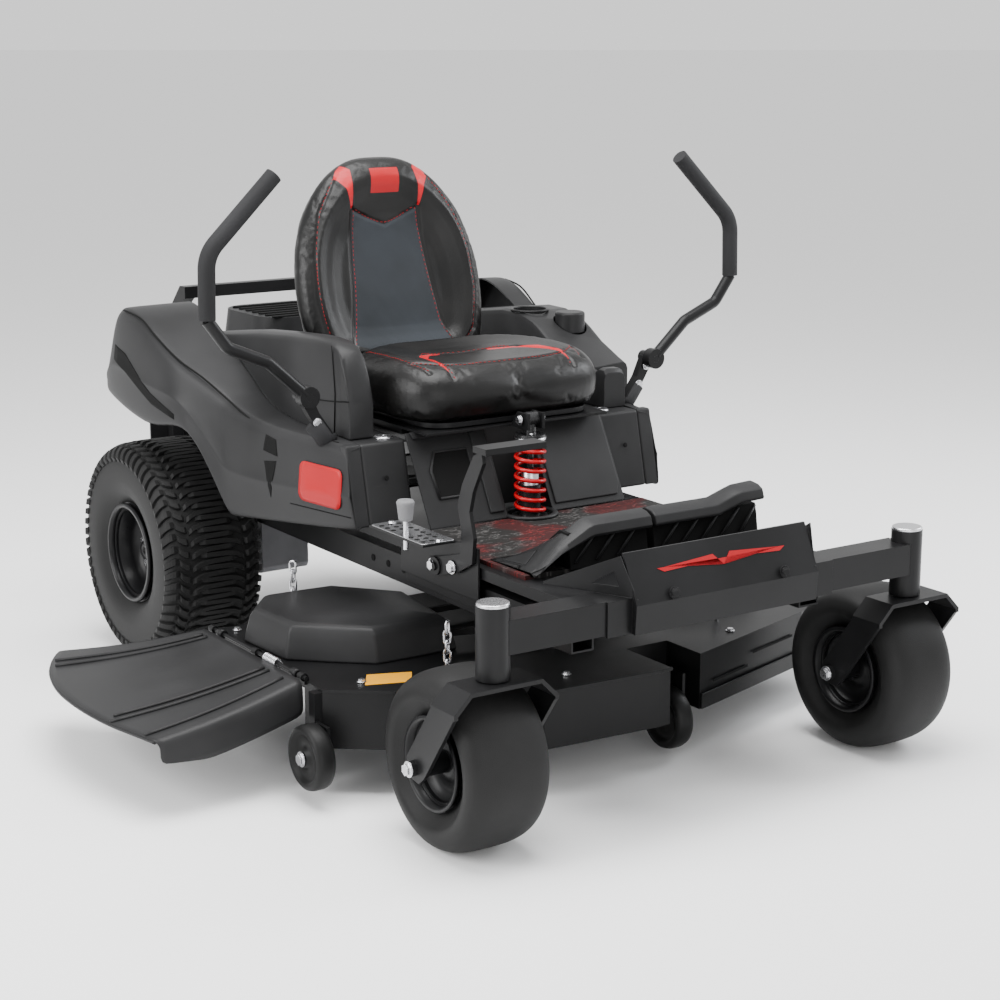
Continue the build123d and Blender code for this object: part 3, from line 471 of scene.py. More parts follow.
# %% Tyre profile
def tyre_profile(radius, half_width, bead_radius, power, steps=28):
    """Outer side from bead to bead, then the inner side back, as (radius, along)."""
    middle = bead_radius + (radius - bead_radius) * 0.42
    outer = []
    for i in range(steps + 1):
        angle = math.pi * i / steps
        c, s = math.cos(angle), math.sin(angle)
        outer.append((middle + (radius - middle) * s ** (2 / power),
                      half_width * math.copysign(abs(c) ** (2 / power), c)))
    lip = half_width - 26
    down = [(bead_radius + 26, lip_x) for lip_x in (-half_width + 5,)]
    low = [(bead_radius + 6, -lip - 6), (bead_radius - 12, -lip + 4), (bead_radius - 12, -lip + 20),
           (bead_radius + 24, -lip + 18), (radius - 20, -half_width + 22), (radius - 16, 0)]
    mirrored = [(r, -x) for r, x in low[:-1]][::-1]
    return outer + down + low + mirrored + [(bead_radius + 26, half_width - 5)]


# %% Tyre bodies
REAR_R, REAR_HALF, REAR_X = 254.0, 119.0, 425.0
CASTER_R, CASTER_HALF, CASTER_X, CASTER_Y = 165.0, 84.0, 488.0, -1346.0
for side, name in ((-1, "right"), (1, "left")):
    rear = lathe(f"rear_tyre_body_{name}", tyre_profile(REAR_R - 9, REAR_HALF - 4, 115, 4.9),
                 (side * REAR_X, 0, REAR_R), 128)
    dress(rear, MATERIALS["tyre_rubber"], f"rear_wheel_{name}", [f"rear_tyre_{name}"])
    caster = lathe(f"caster_tyre_body_{name}", tyre_profile(CASTER_R, CASTER_HALF, 88, 3.1),
                   (side * CASTER_X, CASTER_Y, CASTER_R), 112)
    dress(caster, MATERIALS["tyre_rubber"], f"caster_wheel_{name}", [f"caster_tyre_{name}"])
print("tyre profile has", len(tyre_profile(REAR_R, REAR_HALF, 115, 4.9)), "points")

# %% [markdown]
# ## Geometry Nodes helpers
# A tree is built in the script with named inputs. A modifier keeps the value of an input under the socket's
# identifier, such as Socket_2, so `grow` looks the identifier up by name before it sets the value.


# %% Geometry Nodes helpers
def new_tree(name, inputs):
    """A geometry tree with inputs {name: (socket type, default)}; gives tree, group input, group output."""
    tree = bpy.data.node_groups.new(name, "GeometryNodeTree")
    tree.interface.new_socket("Geometry", in_out="INPUT", socket_type="NodeSocketGeometry")
    for label, (kind, value) in inputs.items():
        socket = tree.interface.new_socket(label, in_out="INPUT", socket_type=f"NodeSocket{kind}")
        if value is not None:
            socket.default_value = value
    tree.interface.new_socket("Geometry", in_out="OUTPUT", socket_type="NodeSocketGeometry")
    return tree, tree.nodes.new("NodeGroupInput"), tree.nodes.new("NodeGroupOutput")


def close_tree(tree, start, end, geometry):
    """End a tree in Realize Instances and Set Material."""
    real = tree.nodes.new("GeometryNodeRealizeInstances")
    painted = tree.nodes.new("GeometryNodeSetMaterial")
    wire(tree, geometry, real.inputs["Geometry"])
    wire(tree, real.outputs["Geometry"], painted.inputs["Geometry"])
    wire(tree, start.outputs["Material"], painted.inputs["Material"])
    wire(tree, painted.outputs["Geometry"], end.inputs["Geometry"])


def grow(name, tree, seed_mesh, body, nodes=(), smooth=False, **values):
    """Run a tree on a seed mesh with its inputs set, and keep the result as a plain piece."""
    obj = bpy.data.objects.new(name, seed_mesh)
    bpy.context.scene.collection.objects.link(obj)
    modifier = obj.modifiers.new("grow", "NODES")
    modifier.node_group = tree
    identifiers = {item.name: item.identifier for item in tree.interface.items_tree if item.in_out == "INPUT"}
    for label, value in values.items():
        modifier[identifiers[label.replace("_", " ")]] = value
    keep_result(obj)
    return dress(obj, None, body, nodes, smooth)


def points_mesh(name, spots):
    """Loose points in millimetres with a facing direction each, for Instance on Points."""
    data = bpy.data.meshes.new(name)
    data.from_pydata([at(*p) for p, _ in spots], [], [])
    facing = data.attributes.new("facing", "FLOAT_VECTOR", "POINT")
    for i, (_, direction) in enumerate(spots):
        facing.data[i].vector = Vector(direction).normalized()
    return data


# %% Tree: copies round an axle
around, around_in, around_out = new_tree("copies_round_axle", {
    "Copies": ("Int", 30), "Shift": ("Float", 0.0), "Axle": ("Vector", (0, 0, 0)), "Material": ("Material", None)})
ring = around.nodes.new("GeometryNodeMeshCircle")
wire(around, around_in.outputs["Copies"], ring.inputs["Vertices"])
ring.inputs["Radius"].default_value = 0.0
index = around.nodes.new("GeometryNodeInputIndex").outputs[0]
turn = math_node(around, "DIVIDE", math_node(around, "ADD", index, around_in.outputs["Shift"]),
                 around_in.outputs["Copies"])
turn = math_node(around, "MULTIPLY", turn, 2 * math.pi)
spin = around.nodes.new("ShaderNodeCombineXYZ")
wire(around, turn, spin.inputs["X"])
spread = around.nodes.new("GeometryNodeInstanceOnPoints")
wire(around, ring.outputs["Mesh"], spread.inputs["Points"])
wire(around, around_in.outputs["Geometry"], spread.inputs["Instance"])
wire(around, spin.outputs[0], spread.inputs["Rotation"])
placed = around.nodes.new("GeometryNodeTransform")
wire(around, spread.outputs["Instances"], placed.inputs["Geometry"])
wire(around, around_in.outputs["Axle"], placed.inputs["Translation"])
close_tree(around, around_in, around_out, placed.outputs["Geometry"])
print("tree", around.name, "has", len(around.nodes), "nodes")


# %% One lug that follows the profile
def lug_mesh(name, start, end, width, slant, height, radius, half_width, bead_radius, power):
    """A rubber bar along the tyre's outer side between two angles of the superellipse, round the X axis."""
    middle = bead_radius + (radius - bead_radius) * 0.42
    rows = []
    for i in range(7):
        part = i / 6
        angle = start + (end - start) * part
        c, s = math.cos(angle), math.sin(angle)
        base = Vector((half_width * math.copysign(abs(c) ** (2 / power), c),
                       middle + (radius - middle) * s ** (2 / power)))
        normal = Vector((math.copysign(abs(c) ** (2 - 2 / power), c) / half_width,
                         s ** (2 - 2 / power) / (radius - middle))).normalized()
        tall = height * (0.35 if i in (0, 6) else 1.0)
        top = base + normal * tall
        low = base - normal * 3
        bend = slant * math.sin(part * math.pi * 0.5)
        for spot, half in ((low, width / 2 + 1.5), (top, width / 2 - 1.5)):
            for sign in (-1, 1):
                turn = (sign * half + bend) / radius
                rows.append((spot.x, spot.y * math.sin(turn), spot.y * math.cos(turn)))
    faces = []
    for i in range(6):
        a = i * 4
        faces += [(a, a + 4, a + 6, a + 2), (a + 2, a + 6, a + 7, a + 3), (a + 3, a + 7, a + 5, a + 1)]
    faces += [(0, 2, 3, 1), (24, 25, 27, 26)]
    data = bpy.data.meshes.new(name)
    data.from_pydata([Vector(p) / 1000 for p in rows], [], faces)
    work = bmesh.new()
    work.from_mesh(data)
    bmesh.ops.recalc_face_normals(work, faces=work.faces)
    work.to_mesh(data)
    work.free()
    return data


LUG_ROWS = (("shoulder_a", 0.22, 0.95, 17, 16, 56, 0.0),
            ("shoulder_b", math.pi - 0.22, math.pi - 0.95, 17, 16, 56, 0.5),
            ("middle_a", 0.98, 1.3, 15, -14, 56, 0.5), ("middle_b", math.pi - 0.98, math.pi - 1.3, 15, -14, 56, 0.0),
            ("centre_a", 1.34, 1.66, 13, 16, 56, 0.25), ("centre_b", math.pi - 1.34, math.pi - 1.66, 13, 16, 56, 0.75))
for side, name in ((-1, "right"), (1, "left")):
    for row, start, end, width, slant, copies, shift in LUG_ROWS:
        lug = lug_mesh(row, start, end, width, slant, 7.0, REAR_R - 9, REAR_HALF - 4, 115, 4.9)
        grow(f"rear_lugs_{row}_{name}", around, lug, f"rear_wheel_{name}", Copies=copies, Shift=shift,
             Axle=at(side * REAR_X, 0, REAR_R), Material=MATERIALS["tyre_rubber"])
print(sum(row[5] for row in LUG_ROWS), "lugs on each rear tyre")

# %% [markdown]
# ## Wheel rims
# The rear rims are dished black steel with round hand holes and five bright lug nuts; the caster rims are two plain
# pressed dishes. A dish is a profile turned about the axle, and the nuts come from one tree for all fasteners.

# %% Tree: fasteners
fastener, fast_in, fast_out = new_tree("fasteners", {
    "Radius": ("Float", 0.008), "Height": ("Float", 0.006), "Washer": ("Float", 1.35), "Sides": ("Int", 6),
    "Material": ("Material", None)})
facing = fastener.nodes.new("GeometryNodeInputNamedAttribute")
facing.data_type = "FLOAT_VECTOR"
facing.inputs["Name"].default_value = "facing"
aligned = fastener.nodes.new("FunctionNodeAlignRotationToVector")
aligned.axis = "Z"
wire(fastener, facing.outputs["Attribute"], aligned.inputs["Vector"])
parts = fastener.nodes.new("GeometryNodeJoinGeometry")
for tall_share, wide_share, sides in ((1.0, 1.0, 6), (0.22, None, 20)):
    drum = fastener.nodes.new("GeometryNodeMeshCylinder")
    drum.inputs["Vertices"].default_value = sides
    tall = math_node(fastener, "MULTIPLY", fast_in.outputs["Height"], tall_share)
    wire(fastener, tall, drum.inputs["Depth"])
    if wide_share is None:
        wire(fastener, math_node(fastener, "MULTIPLY", fast_in.outputs["Radius"], fast_in.outputs["Washer"]),
             drum.inputs["Radius"])
    else:
        wire(fastener, fast_in.outputs["Radius"], drum.inputs["Radius"])
        wire(fastener, fast_in.outputs["Sides"], drum.inputs["Vertices"])
    lift = fastener.nodes.new("ShaderNodeCombineXYZ")
    wire(fastener, math_node(fastener, "MULTIPLY", tall, 0.5), lift.inputs["Z"])
    raised = fastener.nodes.new("GeometryNodeTransform")
    wire(fastener, drum.outputs["Mesh"], raised.inputs["Geometry"])
    wire(fastener, lift.outputs[0], raised.inputs["Translation"])
    wire(fastener, raised.outputs["Geometry"], parts.inputs[0])
set_out = fastener.nodes.new("GeometryNodeInstanceOnPoints")
wire(fastener, fast_in.outputs["Geometry"], set_out.inputs["Points"])
wire(fastener, parts.outputs[0], set_out.inputs["Instance"])
wire(fastener, aligned.outputs[0], set_out.inputs["Rotation"])
close_tree(fastener, fast_in, fast_out, set_out.outputs["Instances"])


def bolts(name, body, spots, radius=8.0, height=6.0, material="bright_steel", washer=1.35, sides=6):
    """Hex heads with washers at (place, direction) spots."""
    return grow(name, fastener, points_mesh(name, spots), body, Radius=radius / 1000, Height=height / 1000,
                Washer=washer, Sides=sides, Material=MATERIALS[material])


# %% Rims and nuts
for side, name in ((-1, "right"), (1, "left")):
    outer = side * 1.0
    dish = [(104, 112), (112, 112), (114, 106), (106, 100), (98, 92), (94, 60), (88, 40), (60, 34), (52, 46), (34, 46),
            (34, 42), (50, 42), (56, 30), (90, 36), (98, 58), (102, 90), (104, 100)]
    face = lathe(f"rear_rim_face_{name}", [(r, outer * x * 0.97) for r, x in dish], (side * REAR_X, 0, REAR_R), 96)
    dress(face, MATERIALS["rim_paint"], f"rear_wheel_{name}")
    spots = [((side * (REAR_X + 42), 43 * math.cos(a), REAR_R + 43 * math.sin(a)), (side, 0, 0))
             for a in (2 * math.pi * k / 5 + 0.3 for k in range(5))]
    bolts(f"lug_nuts_{name}", f"rear_wheel_{name}", spots, 9, 13)
    cap_profile = [(0.01, 70), (20, 68), (26, 60), (28, 40), (0.01, 40)]
    cap = lathe(f"hub_cap_{name}", [(r, outer * x) for r, x in cap_profile], (side * REAR_X, 0, REAR_R), 40)
    dress(cap, MATERIALS["rim_paint"], f"rear_wheel_{name}")
    for face_side, tag in ((-1, "out"), (1, "in")):
        sunk = [(78, 74), (86, 76), (88, 72), (80, 66), (74, 56), (68, 40), (40, 34), (32, 44), (12, 46), (12, 42),
                (30, 40), (38, 30), (70, 36), (76, 52)]
        disc = lathe(f"caster_rim_{tag}_{name}", [(r, face_side * x) for r, x in sunk],
                     (side * CASTER_X, CASTER_Y, CASTER_R), 72)
        dress(disc, MATERIALS["rim_paint"], f"caster_wheel_{name}")
        spots = [((side * CASTER_X + face_side * 118, CASTER_Y, CASTER_R), (face_side, 0, 0))]
        bolts(f"caster_axle_nut_{tag}_{name}", f"caster_{name}", spots, 11, 9)
print("rims, caps and nuts done")

# %% [markdown]
# ## Seat
# The seat is foam under glossy black vinyl, with a woven blue-grey panel in the back, red wedges and red stitching.
# A pillow starts as rings that shrink towards its middle on the front and on the rear, so it is closed. Cloth
# simulation with a little pressure then swells it and gives it the small folds of a stretched cover. The zones of
# the cover are signed distances to their outlines, kept as attributes, so the borders stay crisp on any mesh.


# %% Signed distances and seams
def inside_distance(point, outline):
    """Distance from a point to a closed outline, positive inside, in millimetres."""
    x, y = point
    nearest = 1e9
    inside = False
    for (ax, ay), (bx, by) in zip(outline, outline[1:] + outline[:1]):
        dx, dy = bx - ax, by - ay
        t = max(0.0, min(1.0, ((x - ax) * dx + (y - ay) * dy) / (dx * dx + dy * dy + 1e-9)))
        nearest = min(nearest, math.hypot(x - ax - t * dx, y - ay - t * dy))
        if (ay > y) != (by > y) and x < (bx - ax) * (y - ay) / (by - ay) + ax:
            inside = not inside
    return nearest if inside else -nearest


def line_distance(point, line):
    """Distance from a point to an open line."""
    x, y = point
    nearest = 1e9
    for (ax, ay), (bx, by) in zip(line, line[1:]):
        dx, dy = bx - ax, by - ay
        t = max(0.0, min(1.0, ((x - ax) * dx + (y - ay) * dy) / (dx * dx + dy * dy + 1e-9)))
        nearest = min(nearest, math.hypot(x - ax - t * dx, y - ay - t * dy))
    return nearest


def puff(obj, voxel, pressure, cap):
    """Remesh, swell by cloth simulation with a capped movement, and subdivide once."""
    add_modifier(obj, "REMESH", mode="VOXEL", voxel_size=voxel / 1000)
    keep_result(obj)
    before = [v.co.copy() for v in obj.data.vertices]
    cloth = obj.modifiers.new("cloth", "CLOTH")
    cloth.settings.use_pressure = True
    cloth.settings.uniform_pressure_force = pressure
    cloth.settings.quality = 4
    cloth.settings.effector_weights.gravity = 0
    cloth.collision_settings.use_self_collision = False
    cloth.point_cache.frame_end = 20
    for step in range(1, 21):
        bpy.context.scene.frame_set(step)
    keep_result(obj)
    bpy.context.scene.frame_set(1)
    for vertex, old in zip(obj.data.vertices, before):
        move = vertex.co - old
        if move.length > cap / 1000:
            vertex.co = old + move.normalized() * cap / 1000
    add_modifier(obj, "SUBSURF", levels=1, render_levels=1)
    return keep_result(obj)


def pillow(name, outline, rings, place):
    """Closed rings from the middle of the front, over the rim, to the middle of the rear.
    rings holds (reach, depth, relief share)."""
    middle = (sum(p[0] for p in outline) / len(outline), sum(p[1] for p in outline) / len(outline))
    loops = []
    for reach, depth, share in rings:
        loops.append([place(middle[0] + (u - middle[0]) * reach, middle[1] + (v - middle[1]) * reach, depth, share)
                      for u, v in outline])
    return mesh_object(name, *loft(loops))


# %% Seat back shape
BACK_FOOT = (-366.0, 690.0)
LEAN = math.radians(14)
HALF_BACK = [(0, 472), (70, 464), (139, 421), (199, 342), (229, 240), (232, 140), (218, 60), (196, 14), (150, 6),
             (70, 4), (0, 3)]
back_outline = smooth_curve([(x, y) for x, y in HALF_BACK[:-1]] + [(-x, y) for x, y in HALF_BACK[:0:-1]], 5, True)


def back_place(u, v, depth, share=1.0):
    """A point of the seat back: u across, v up the leaning back, depth behind its front face."""
    lumbar = 8 * math.exp(-((v - 130) / 90) ** 2) * share * max(0.0, 1 - (u / 150) ** 2)
    crown = 20 * max(0.0, (v - 250) / 222) ** 2 * share * max(0.0, 1 - (u / 200) ** 2)
    w = -depth + lumbar + crown
    y = BACK_FOOT[0] + v * math.sin(LEAN) - w * math.cos(LEAN)
    z = BACK_FOOT[1] + v * math.cos(LEAN) + w * math.sin(LEAN)
    return (u, y, z)


def back_uv(co):
    """The way back from a point in metres to (u, v, depth)."""
    p = (co - AXLE) * 1000
    dy, dz = p.y - BACK_FOOT[0], p.z - BACK_FOOT[1]
    return p.x, dy * math.sin(LEAN) + dz * math.cos(LEAN), dy * math.cos(LEAN) - dz * math.sin(LEAN)


BACK_RINGS = ((0.02, 34, 1), (0.2, 34, 1), (0.4, 34, 1), (0.55, 32, 1), (0.66, 24, 0.9), (0.76, 11, 0.7),
              (0.85, 5, 0.5), (0.92, 7, 0.3), (0.975, 18, 0.1), (1.0, 36, 0), (1.0, 52, 0), (0.97, 68, 0),
              (0.9, 76, 0), (0.7, 78, 0), (0.4, 79, 0), (0.02, 79, 0))
seat_back = pillow("seat_back_cover", back_outline, BACK_RINGS, back_place)
puff(seat_back, 5.0, 2.0, 5.0)
print("seat back:", len(seat_back.data.polygons), "faces")

# %% Seat cushion shape
cushion_outline = smooth_curve([(0, -800), (120, -799), (208, -778), (246, -710), (251, -610), (242, -530),
                                (198, -464), (110, -432), (0, -427), (-110, -432), (-198, -464), (-242, -530),
                                (-251, -610), (-246, -710), (-208, -778), (-120, -799)], 5, True)


def cushion_place(u, v, height, share=1.0):
    """A point of the cushion at plan place (u, v); the front rolls down and the seat dips in the middle."""
    front = max(0.0, (-640 - v) / 155)
    dip = 10 * math.exp(-(u / 110) ** 2 - ((v + 560) / 110) ** 2)
    return (u, v, height - share * (16 * front ** 2 + dip))


CUSHION_RINGS = ((0.02, 748, 1), (0.3, 748, 1), (0.5, 750, 1), (0.64, 754, 1), (0.76, 759, 1), (0.85, 757, 1),
                 (0.92, 747, 0.9), (0.97, 730, 0.6), (0.995, 708, 0.3), (1.0, 690, 0.1), (0.99, 664, 0),
                 (0.965, 648, 0), (0.92, 643, 0), (0.6, 642, 0), (0.02, 642, 0))
cushion = pillow("seat_cushion_cover", cushion_outline, CUSHION_RINGS, cushion_place)
puff(cushion, 5.0, 2.0, 5.0)
print("cushion:", len(cushion.data.polygons), "faces")

# %% Cover zones
MESH_PANEL = [(-81, 350), (0, 318), (81, 350), (92, 250), (100, 170), (112, 90), (122, 52), (60, 30), (-60, 30),
              (-122, 52), (-112, 90), (-100, 170), (-92, 250)]
RED_WEDGE = [(92, 452), (108, 440), (120, 424), (100, 398), (88, 354), (84, 354), (84, 400), (80, 440)]
BACK_RED = [RED_WEDGE, [(-u, v) for u, v in RED_WEDGE]]
BACK_BADGE = [(-36, 386), (36, 386), (36, 440), (-36, 440)]
SIDE_SEAM = [(84, 354), (94, 250), (102, 170), (114, 90), (130, 44)]
RIDGE_SEAM = [(120, 424), (172, 345), (198, 255), (203, 160), (186, 70), (150, 34)]
TOP_SEAM = [(-81, 350), (0, 318), (81, 350)]
BACK_SEAMS = [TOP_SEAM, SIDE_SEAM, RIDGE_SEAM] + [[(-u, v) for u, v in seam] for seam in (SIDE_SEAM, RIDGE_SEAM)]
CUSHION_WEDGE = [(70, -570), (118, -600), (150, -650), (157, -712), (150, -775), (145, -716), (134, -660),
                 (104, -616), (60, -590)]
CUSHION_RED = [CUSHION_WEDGE, [(-u, v) for u, v in CUSHION_WEDGE]]
CUSHION_SEAM = [(150, -780), (150, -700), (120, -605), (70, -575), (-70, -575), (-120, -605), (-150, -700),
                (-150, -780)]
CUSHION_FRONT = [(-205, -700), (-150, -742), (-70, -756), (70, -756), (150, -742), (205, -700)]
CUSHION_SIDE = [(196, -500), (206, -600), (205, -700), (190, -756)]
CUSHION_SEAMS = [CUSHION_SEAM, CUSHION_FRONT, CUSHION_SIDE, [(-u, v) for u, v in CUSHION_SIDE]]


def mark_zones(obj, locate, zones, seams, groove, facing_depth):
    """Store each zone's and the seams' distance in metres as an attribute, and press the seams in."""
    mesh = obj.data
    spots = [locate(v.co) for v in mesh.vertices]
    for label, outlines in zones.items():
        stored = mesh.attributes.new(label, "FLOAT", "POINT")
        for i, (u, v, depth) in enumerate(spots):
            on_front = depth < facing_depth
            stored.data[i].value = max(inside_distance((u, v), o) for o in outlines) / 1000 if on_front else -1
    seam = mesh.attributes.new("seam", "FLOAT", "POINT")
    normals = [v.normal.copy() for v in mesh.vertices]
    for i, (u, v, depth) in enumerate(spots):
        near = min(line_distance((u, v), s) for s in seams) if depth < facing_depth else 99
        seam.data[i].value = near / 1000
        mesh.vertices[i].co -= normals[i] * groove / 1000 * math.exp(-(near / 4.5) ** 2)


mark_zones(seat_back, back_uv, {"woven": [MESH_PANEL], "red": BACK_RED, "badge": [BACK_BADGE]}, BACK_SEAMS, 3.5, 44)


def cushion_uv(co):
    """A cushion point as (across, along, depth below the top)."""
    p = (co - AXLE) * 1000
    return p.x, p.y, 770 - p.z


mark_zones(cushion, cushion_uv, {"red": CUSHION_RED}, CUSHION_SEAMS, 3.5, 75)
print("zones:", [a.name for a in seat_back.data.attributes if a.domain == "POINT"][:8])

# %% [markdown]
# ### Vinyl and woven cover
# Vinyl shines in broad soft highlights and has a fine leather-like grain and long shallow folds. The woven panel is
# matt, with two crossed sets of threads. The stored distances mix one into the other over a third of a millimetre.


# %% Cover materials
def attribute_mask(tree, label):
    """1 inside a stored zone, 0 outside, with a narrow edge."""
    node = tree.nodes.new("ShaderNodeAttribute")
    node.attribute_name = label
    return map_range(tree, node.outputs["Fac"], -0.0004, 0.0004)


def mix_colour(tree, mask, first, second):
    node = tree.nodes.new("ShaderNodeMix")
    node.data_type = "RGBA"
    wire(tree, mask, node.inputs["Factor"])
    for label, value in (("A", first), ("B", second)):
        if isinstance(value, tuple):
            node.inputs[label].default_value = value
        else:
            wire(tree, value, node.inputs[label])
    return node.outputs["Result"]


def seat_cover(name, woven, badge):
    """Black vinyl with red zones, and a woven zone where woven is true."""
    mat = bpy.data.materials.new(name)
    mat.use_nodes = True
    tree = mat.node_tree
    bsdf = tree.nodes["Principled BSDF"]
    bsdf.inputs["Specular IOR Level"].default_value = 0.26
    coords = tree.nodes.new("ShaderNodeTexCoord").outputs["Object"]
    folds = noise_node(tree, coords, 12, 1.5, 0.45)
    leather = tree.nodes.new("ShaderNodeTexVoronoi")
    leather.inputs["Scale"].default_value = 620
    wire(tree, coords, leather.inputs["Vector"])
    # The fold noise also colours the vinyl, darker in the fold hollows and lighter on the crests: painted shade in the
    # hollows and painted highlight on the crests.
    colour = mix_colour(tree, map_range(tree, folds, 0.35, 0.65), (0.003, 0.003, 0.003, 1), (0.0060, 0.0058, 0.0056, 1))
    red = attribute_mask(tree, "red")
    colour = mix_colour(tree, red, colour, (0.40, 0.004, 0.010, 1))
    rough = math_node(tree, "MULTIPLY_ADD", folds, 0.08, 0.30)
    height = math_node(tree, "MULTIPLY_ADD", leather.outputs["Distance"], 0.0003,
                       math_node(tree, "MULTIPLY", folds, 0.0014))
    if badge:
        colour = mix_colour(tree, attribute_mask(tree, "badge"), colour, (0.34, 0.004, 0.008, 1))
    if woven:
        weave = tree.nodes.new("ShaderNodeTexWave")
        weave.bands_direction = "X"
        weave.inputs["Scale"].default_value = 140
        wire(tree, coords, weave.inputs["Vector"])
        cross = tree.nodes.new("ShaderNodeTexWave")
        cross.bands_direction = "Z"
        cross.inputs["Scale"].default_value = 140
        wire(tree, coords, cross.inputs["Vector"])
        threads = math_node(tree, "MULTIPLY", weave.outputs["Fac"], cross.outputs["Fac"])
        mask = attribute_mask(tree, "woven")
        cloth_colour = mix_colour(tree, threads, (0.009, 0.011, 0.0135, 1), (0.026, 0.031, 0.036, 1))
        cloth_colour = mix_colour(tree, map_range(tree, noise_node(tree, coords, 9), 0.3, 0.7), cloth_colour,
                                  (0.019, 0.023, 0.028, 1))
        colour = mix_colour(tree, mask, colour, cloth_colour)
        rough = math_node(tree, "ADD", rough, math_node(tree, "MULTIPLY", mask, 0.42))
        height = math_node(tree, "ADD", height, math_node(tree, "MULTIPLY", math_node(tree, "MULTIPLY", threads, mask),
                                                          0.0006))
    wire(tree, colour, bsdf.inputs["Base Color"])
    wire(tree, rough, bsdf.inputs["Roughness"])
    bump = tree.nodes.new("ShaderNodeBump")
    bump.inputs["Strength"].default_value = 0.7
    bump.inputs["Distance"].default_value = 1.0
    wire(tree, height, bump.inputs["Height"])
    wire(tree, bump.outputs["Normal"], bsdf.inputs["Normal"])
    return mat


MATERIALS["seat_vinyl"] = seat_cover("seat_vinyl", False, False)
back_cover = seat_cover("seat_back_vinyl", True, True)
dress(seat_back, back_cover, "seat", ["seat_back"])
dress(cushion, MATERIALS["seat_vinyl"], "seat", ["seat_cushion"])

# %% [markdown]
# ### Stitches
# Each seam has a row of short red stitches a few millimetres beside its groove. The tree puts a small bar on every
# point of a mesh and lays it along the seam with the stored direction.

# %% Tree and rows of stitches
MATERIALS["red_thread"] = finish_of("red_thread", (0.30, 0.006, 0.010), 0.6, grain_scale=3000, edge=0, scuffs=0)
stitch, stitch_in, stitch_out = new_tree("stitches", {"Length": ("Float", 0.005), "Thread": ("Float", 0.0006),
                                                      "Material": ("Material", None)})
bar = stitch.nodes.new("GeometryNodeMeshCylinder")
bar.inputs["Vertices"].default_value = 6
wire(stitch, stitch_in.outputs["Thread"], bar.inputs["Radius"])
wire(stitch, stitch_in.outputs["Length"], bar.inputs["Depth"])
way = stitch.nodes.new("GeometryNodeInputNamedAttribute")
way.data_type = "FLOAT_VECTOR"
way.inputs["Name"].default_value = "facing"
laid = stitch.nodes.new("FunctionNodeAlignRotationToVector")
laid.axis = "Z"
wire(stitch, way.outputs["Attribute"], laid.inputs["Vector"])
sewn = stitch.nodes.new("GeometryNodeInstanceOnPoints")
wire(stitch, stitch_in.outputs["Geometry"], sewn.inputs["Points"])
wire(stitch, bar.outputs["Mesh"], sewn.inputs["Instance"])
wire(stitch, laid.outputs[0], sewn.inputs["Rotation"])
close_tree(stitch, stitch_in, stitch_out, sewn.outputs["Instances"])


def sew(name, surface, lines, place, spacing=8.0, offset=5.0):
    """Stitches on a surface beside lines in (u, v); place gives a point in front of the surface to cast from."""
    spots = []
    for line in lines:
        walk = smooth_curve(line, 24)
        travelled = 0.0
        for (ax, ay), (bx, by) in zip(walk, walk[1:]):
            length = math.hypot(bx - ax, by - ay)
            travelled += length
            if travelled < spacing or length < 1e-6:
                continue
            travelled = 0.0
            side = 1 if ax + bx > 0 else -1
            u, v = ax - side * offset * abs(by - ay) / length, ay + offset * abs(bx - ax) / length
            (start, towards) = place(u, v)
            hit, spot, normal, _ = surface.ray_cast(start, towards)
            if hit:
                along = Vector(place(bx, by)[0]) - Vector(place(ax, ay)[0])
                along -= normal * along.dot(normal)
                mm = (spot + normal * 0.0003 - AXLE) * 1000
                spots.append((tuple(mm), tuple(along.normalized())))
    piece = grow(name, stitch, points_mesh(name, spots), "seat", Material=MATERIALS["red_thread"])
    print(name, len(spots), "stitches")
    return piece


def front_of_back(u, v):
    return at(*back_place(u, v, -60, 0)), Vector((0, math.cos(LEAN), -math.sin(LEAN)))


def above_cushion(u, v):
    return at(u, v, 900), Vector((0, 0, -1))


sew("back_stitches", seat_back, BACK_SEAMS, front_of_back)
sew("cushion_stitches", cushion, CUSHION_SEAMS, above_cushion)

# %% [markdown]
# ## Moulded body panels
# The fenders, hips and console covers are moulded plastic: large calm faces, rounded over at every edge, and a long
# crease that stiffens the side. A fender is a grid of sections along its length, each from the lower return flange
# up the side and over the top. Subdivision rounds the grid, and Solidify gives the wall its thickness.


# %% Skin helper
def skin(name, stations, material, body, nodes=(), wall=3.0, levels=2, offset=1.0, creases=()):
    """An open grid of sections in millimetres, rounded by subdivision and given a wall; creases are
    (row, weight) pairs that keep the lines along those rows sharper."""
    points, faces = loft(stations, closed=False, caps=False)
    obj = mesh_object(name, points, faces, outward=False)
    crease = obj.data.attributes.new("crease_edge", "FLOAT", "EDGE")
    lines = {tuple(round(c, 6) for c in at(*station[row])): (row, weight) for row, weight in creases
             for station in stations}
    for edge in obj.data.edges:
        ends = [lines.get(tuple(round(c, 6) for c in obj.data.vertices[v].co)) for v in edge.vertices]
        if ends[0] and ends[0] == ends[1]:
            crease.data[edge.index].value = ends[0][1]
    add_modifier(obj, "SUBSURF", levels=levels, render_levels=levels)
    add_modifier(obj, "SOLIDIFY", thickness=wall / 1000, offset=offset)
    return dress(keep_result(obj), material, body, nodes)


def lerp(a, b, t):
    return tuple(p + (q - p) * t for p, q in zip(a, b))


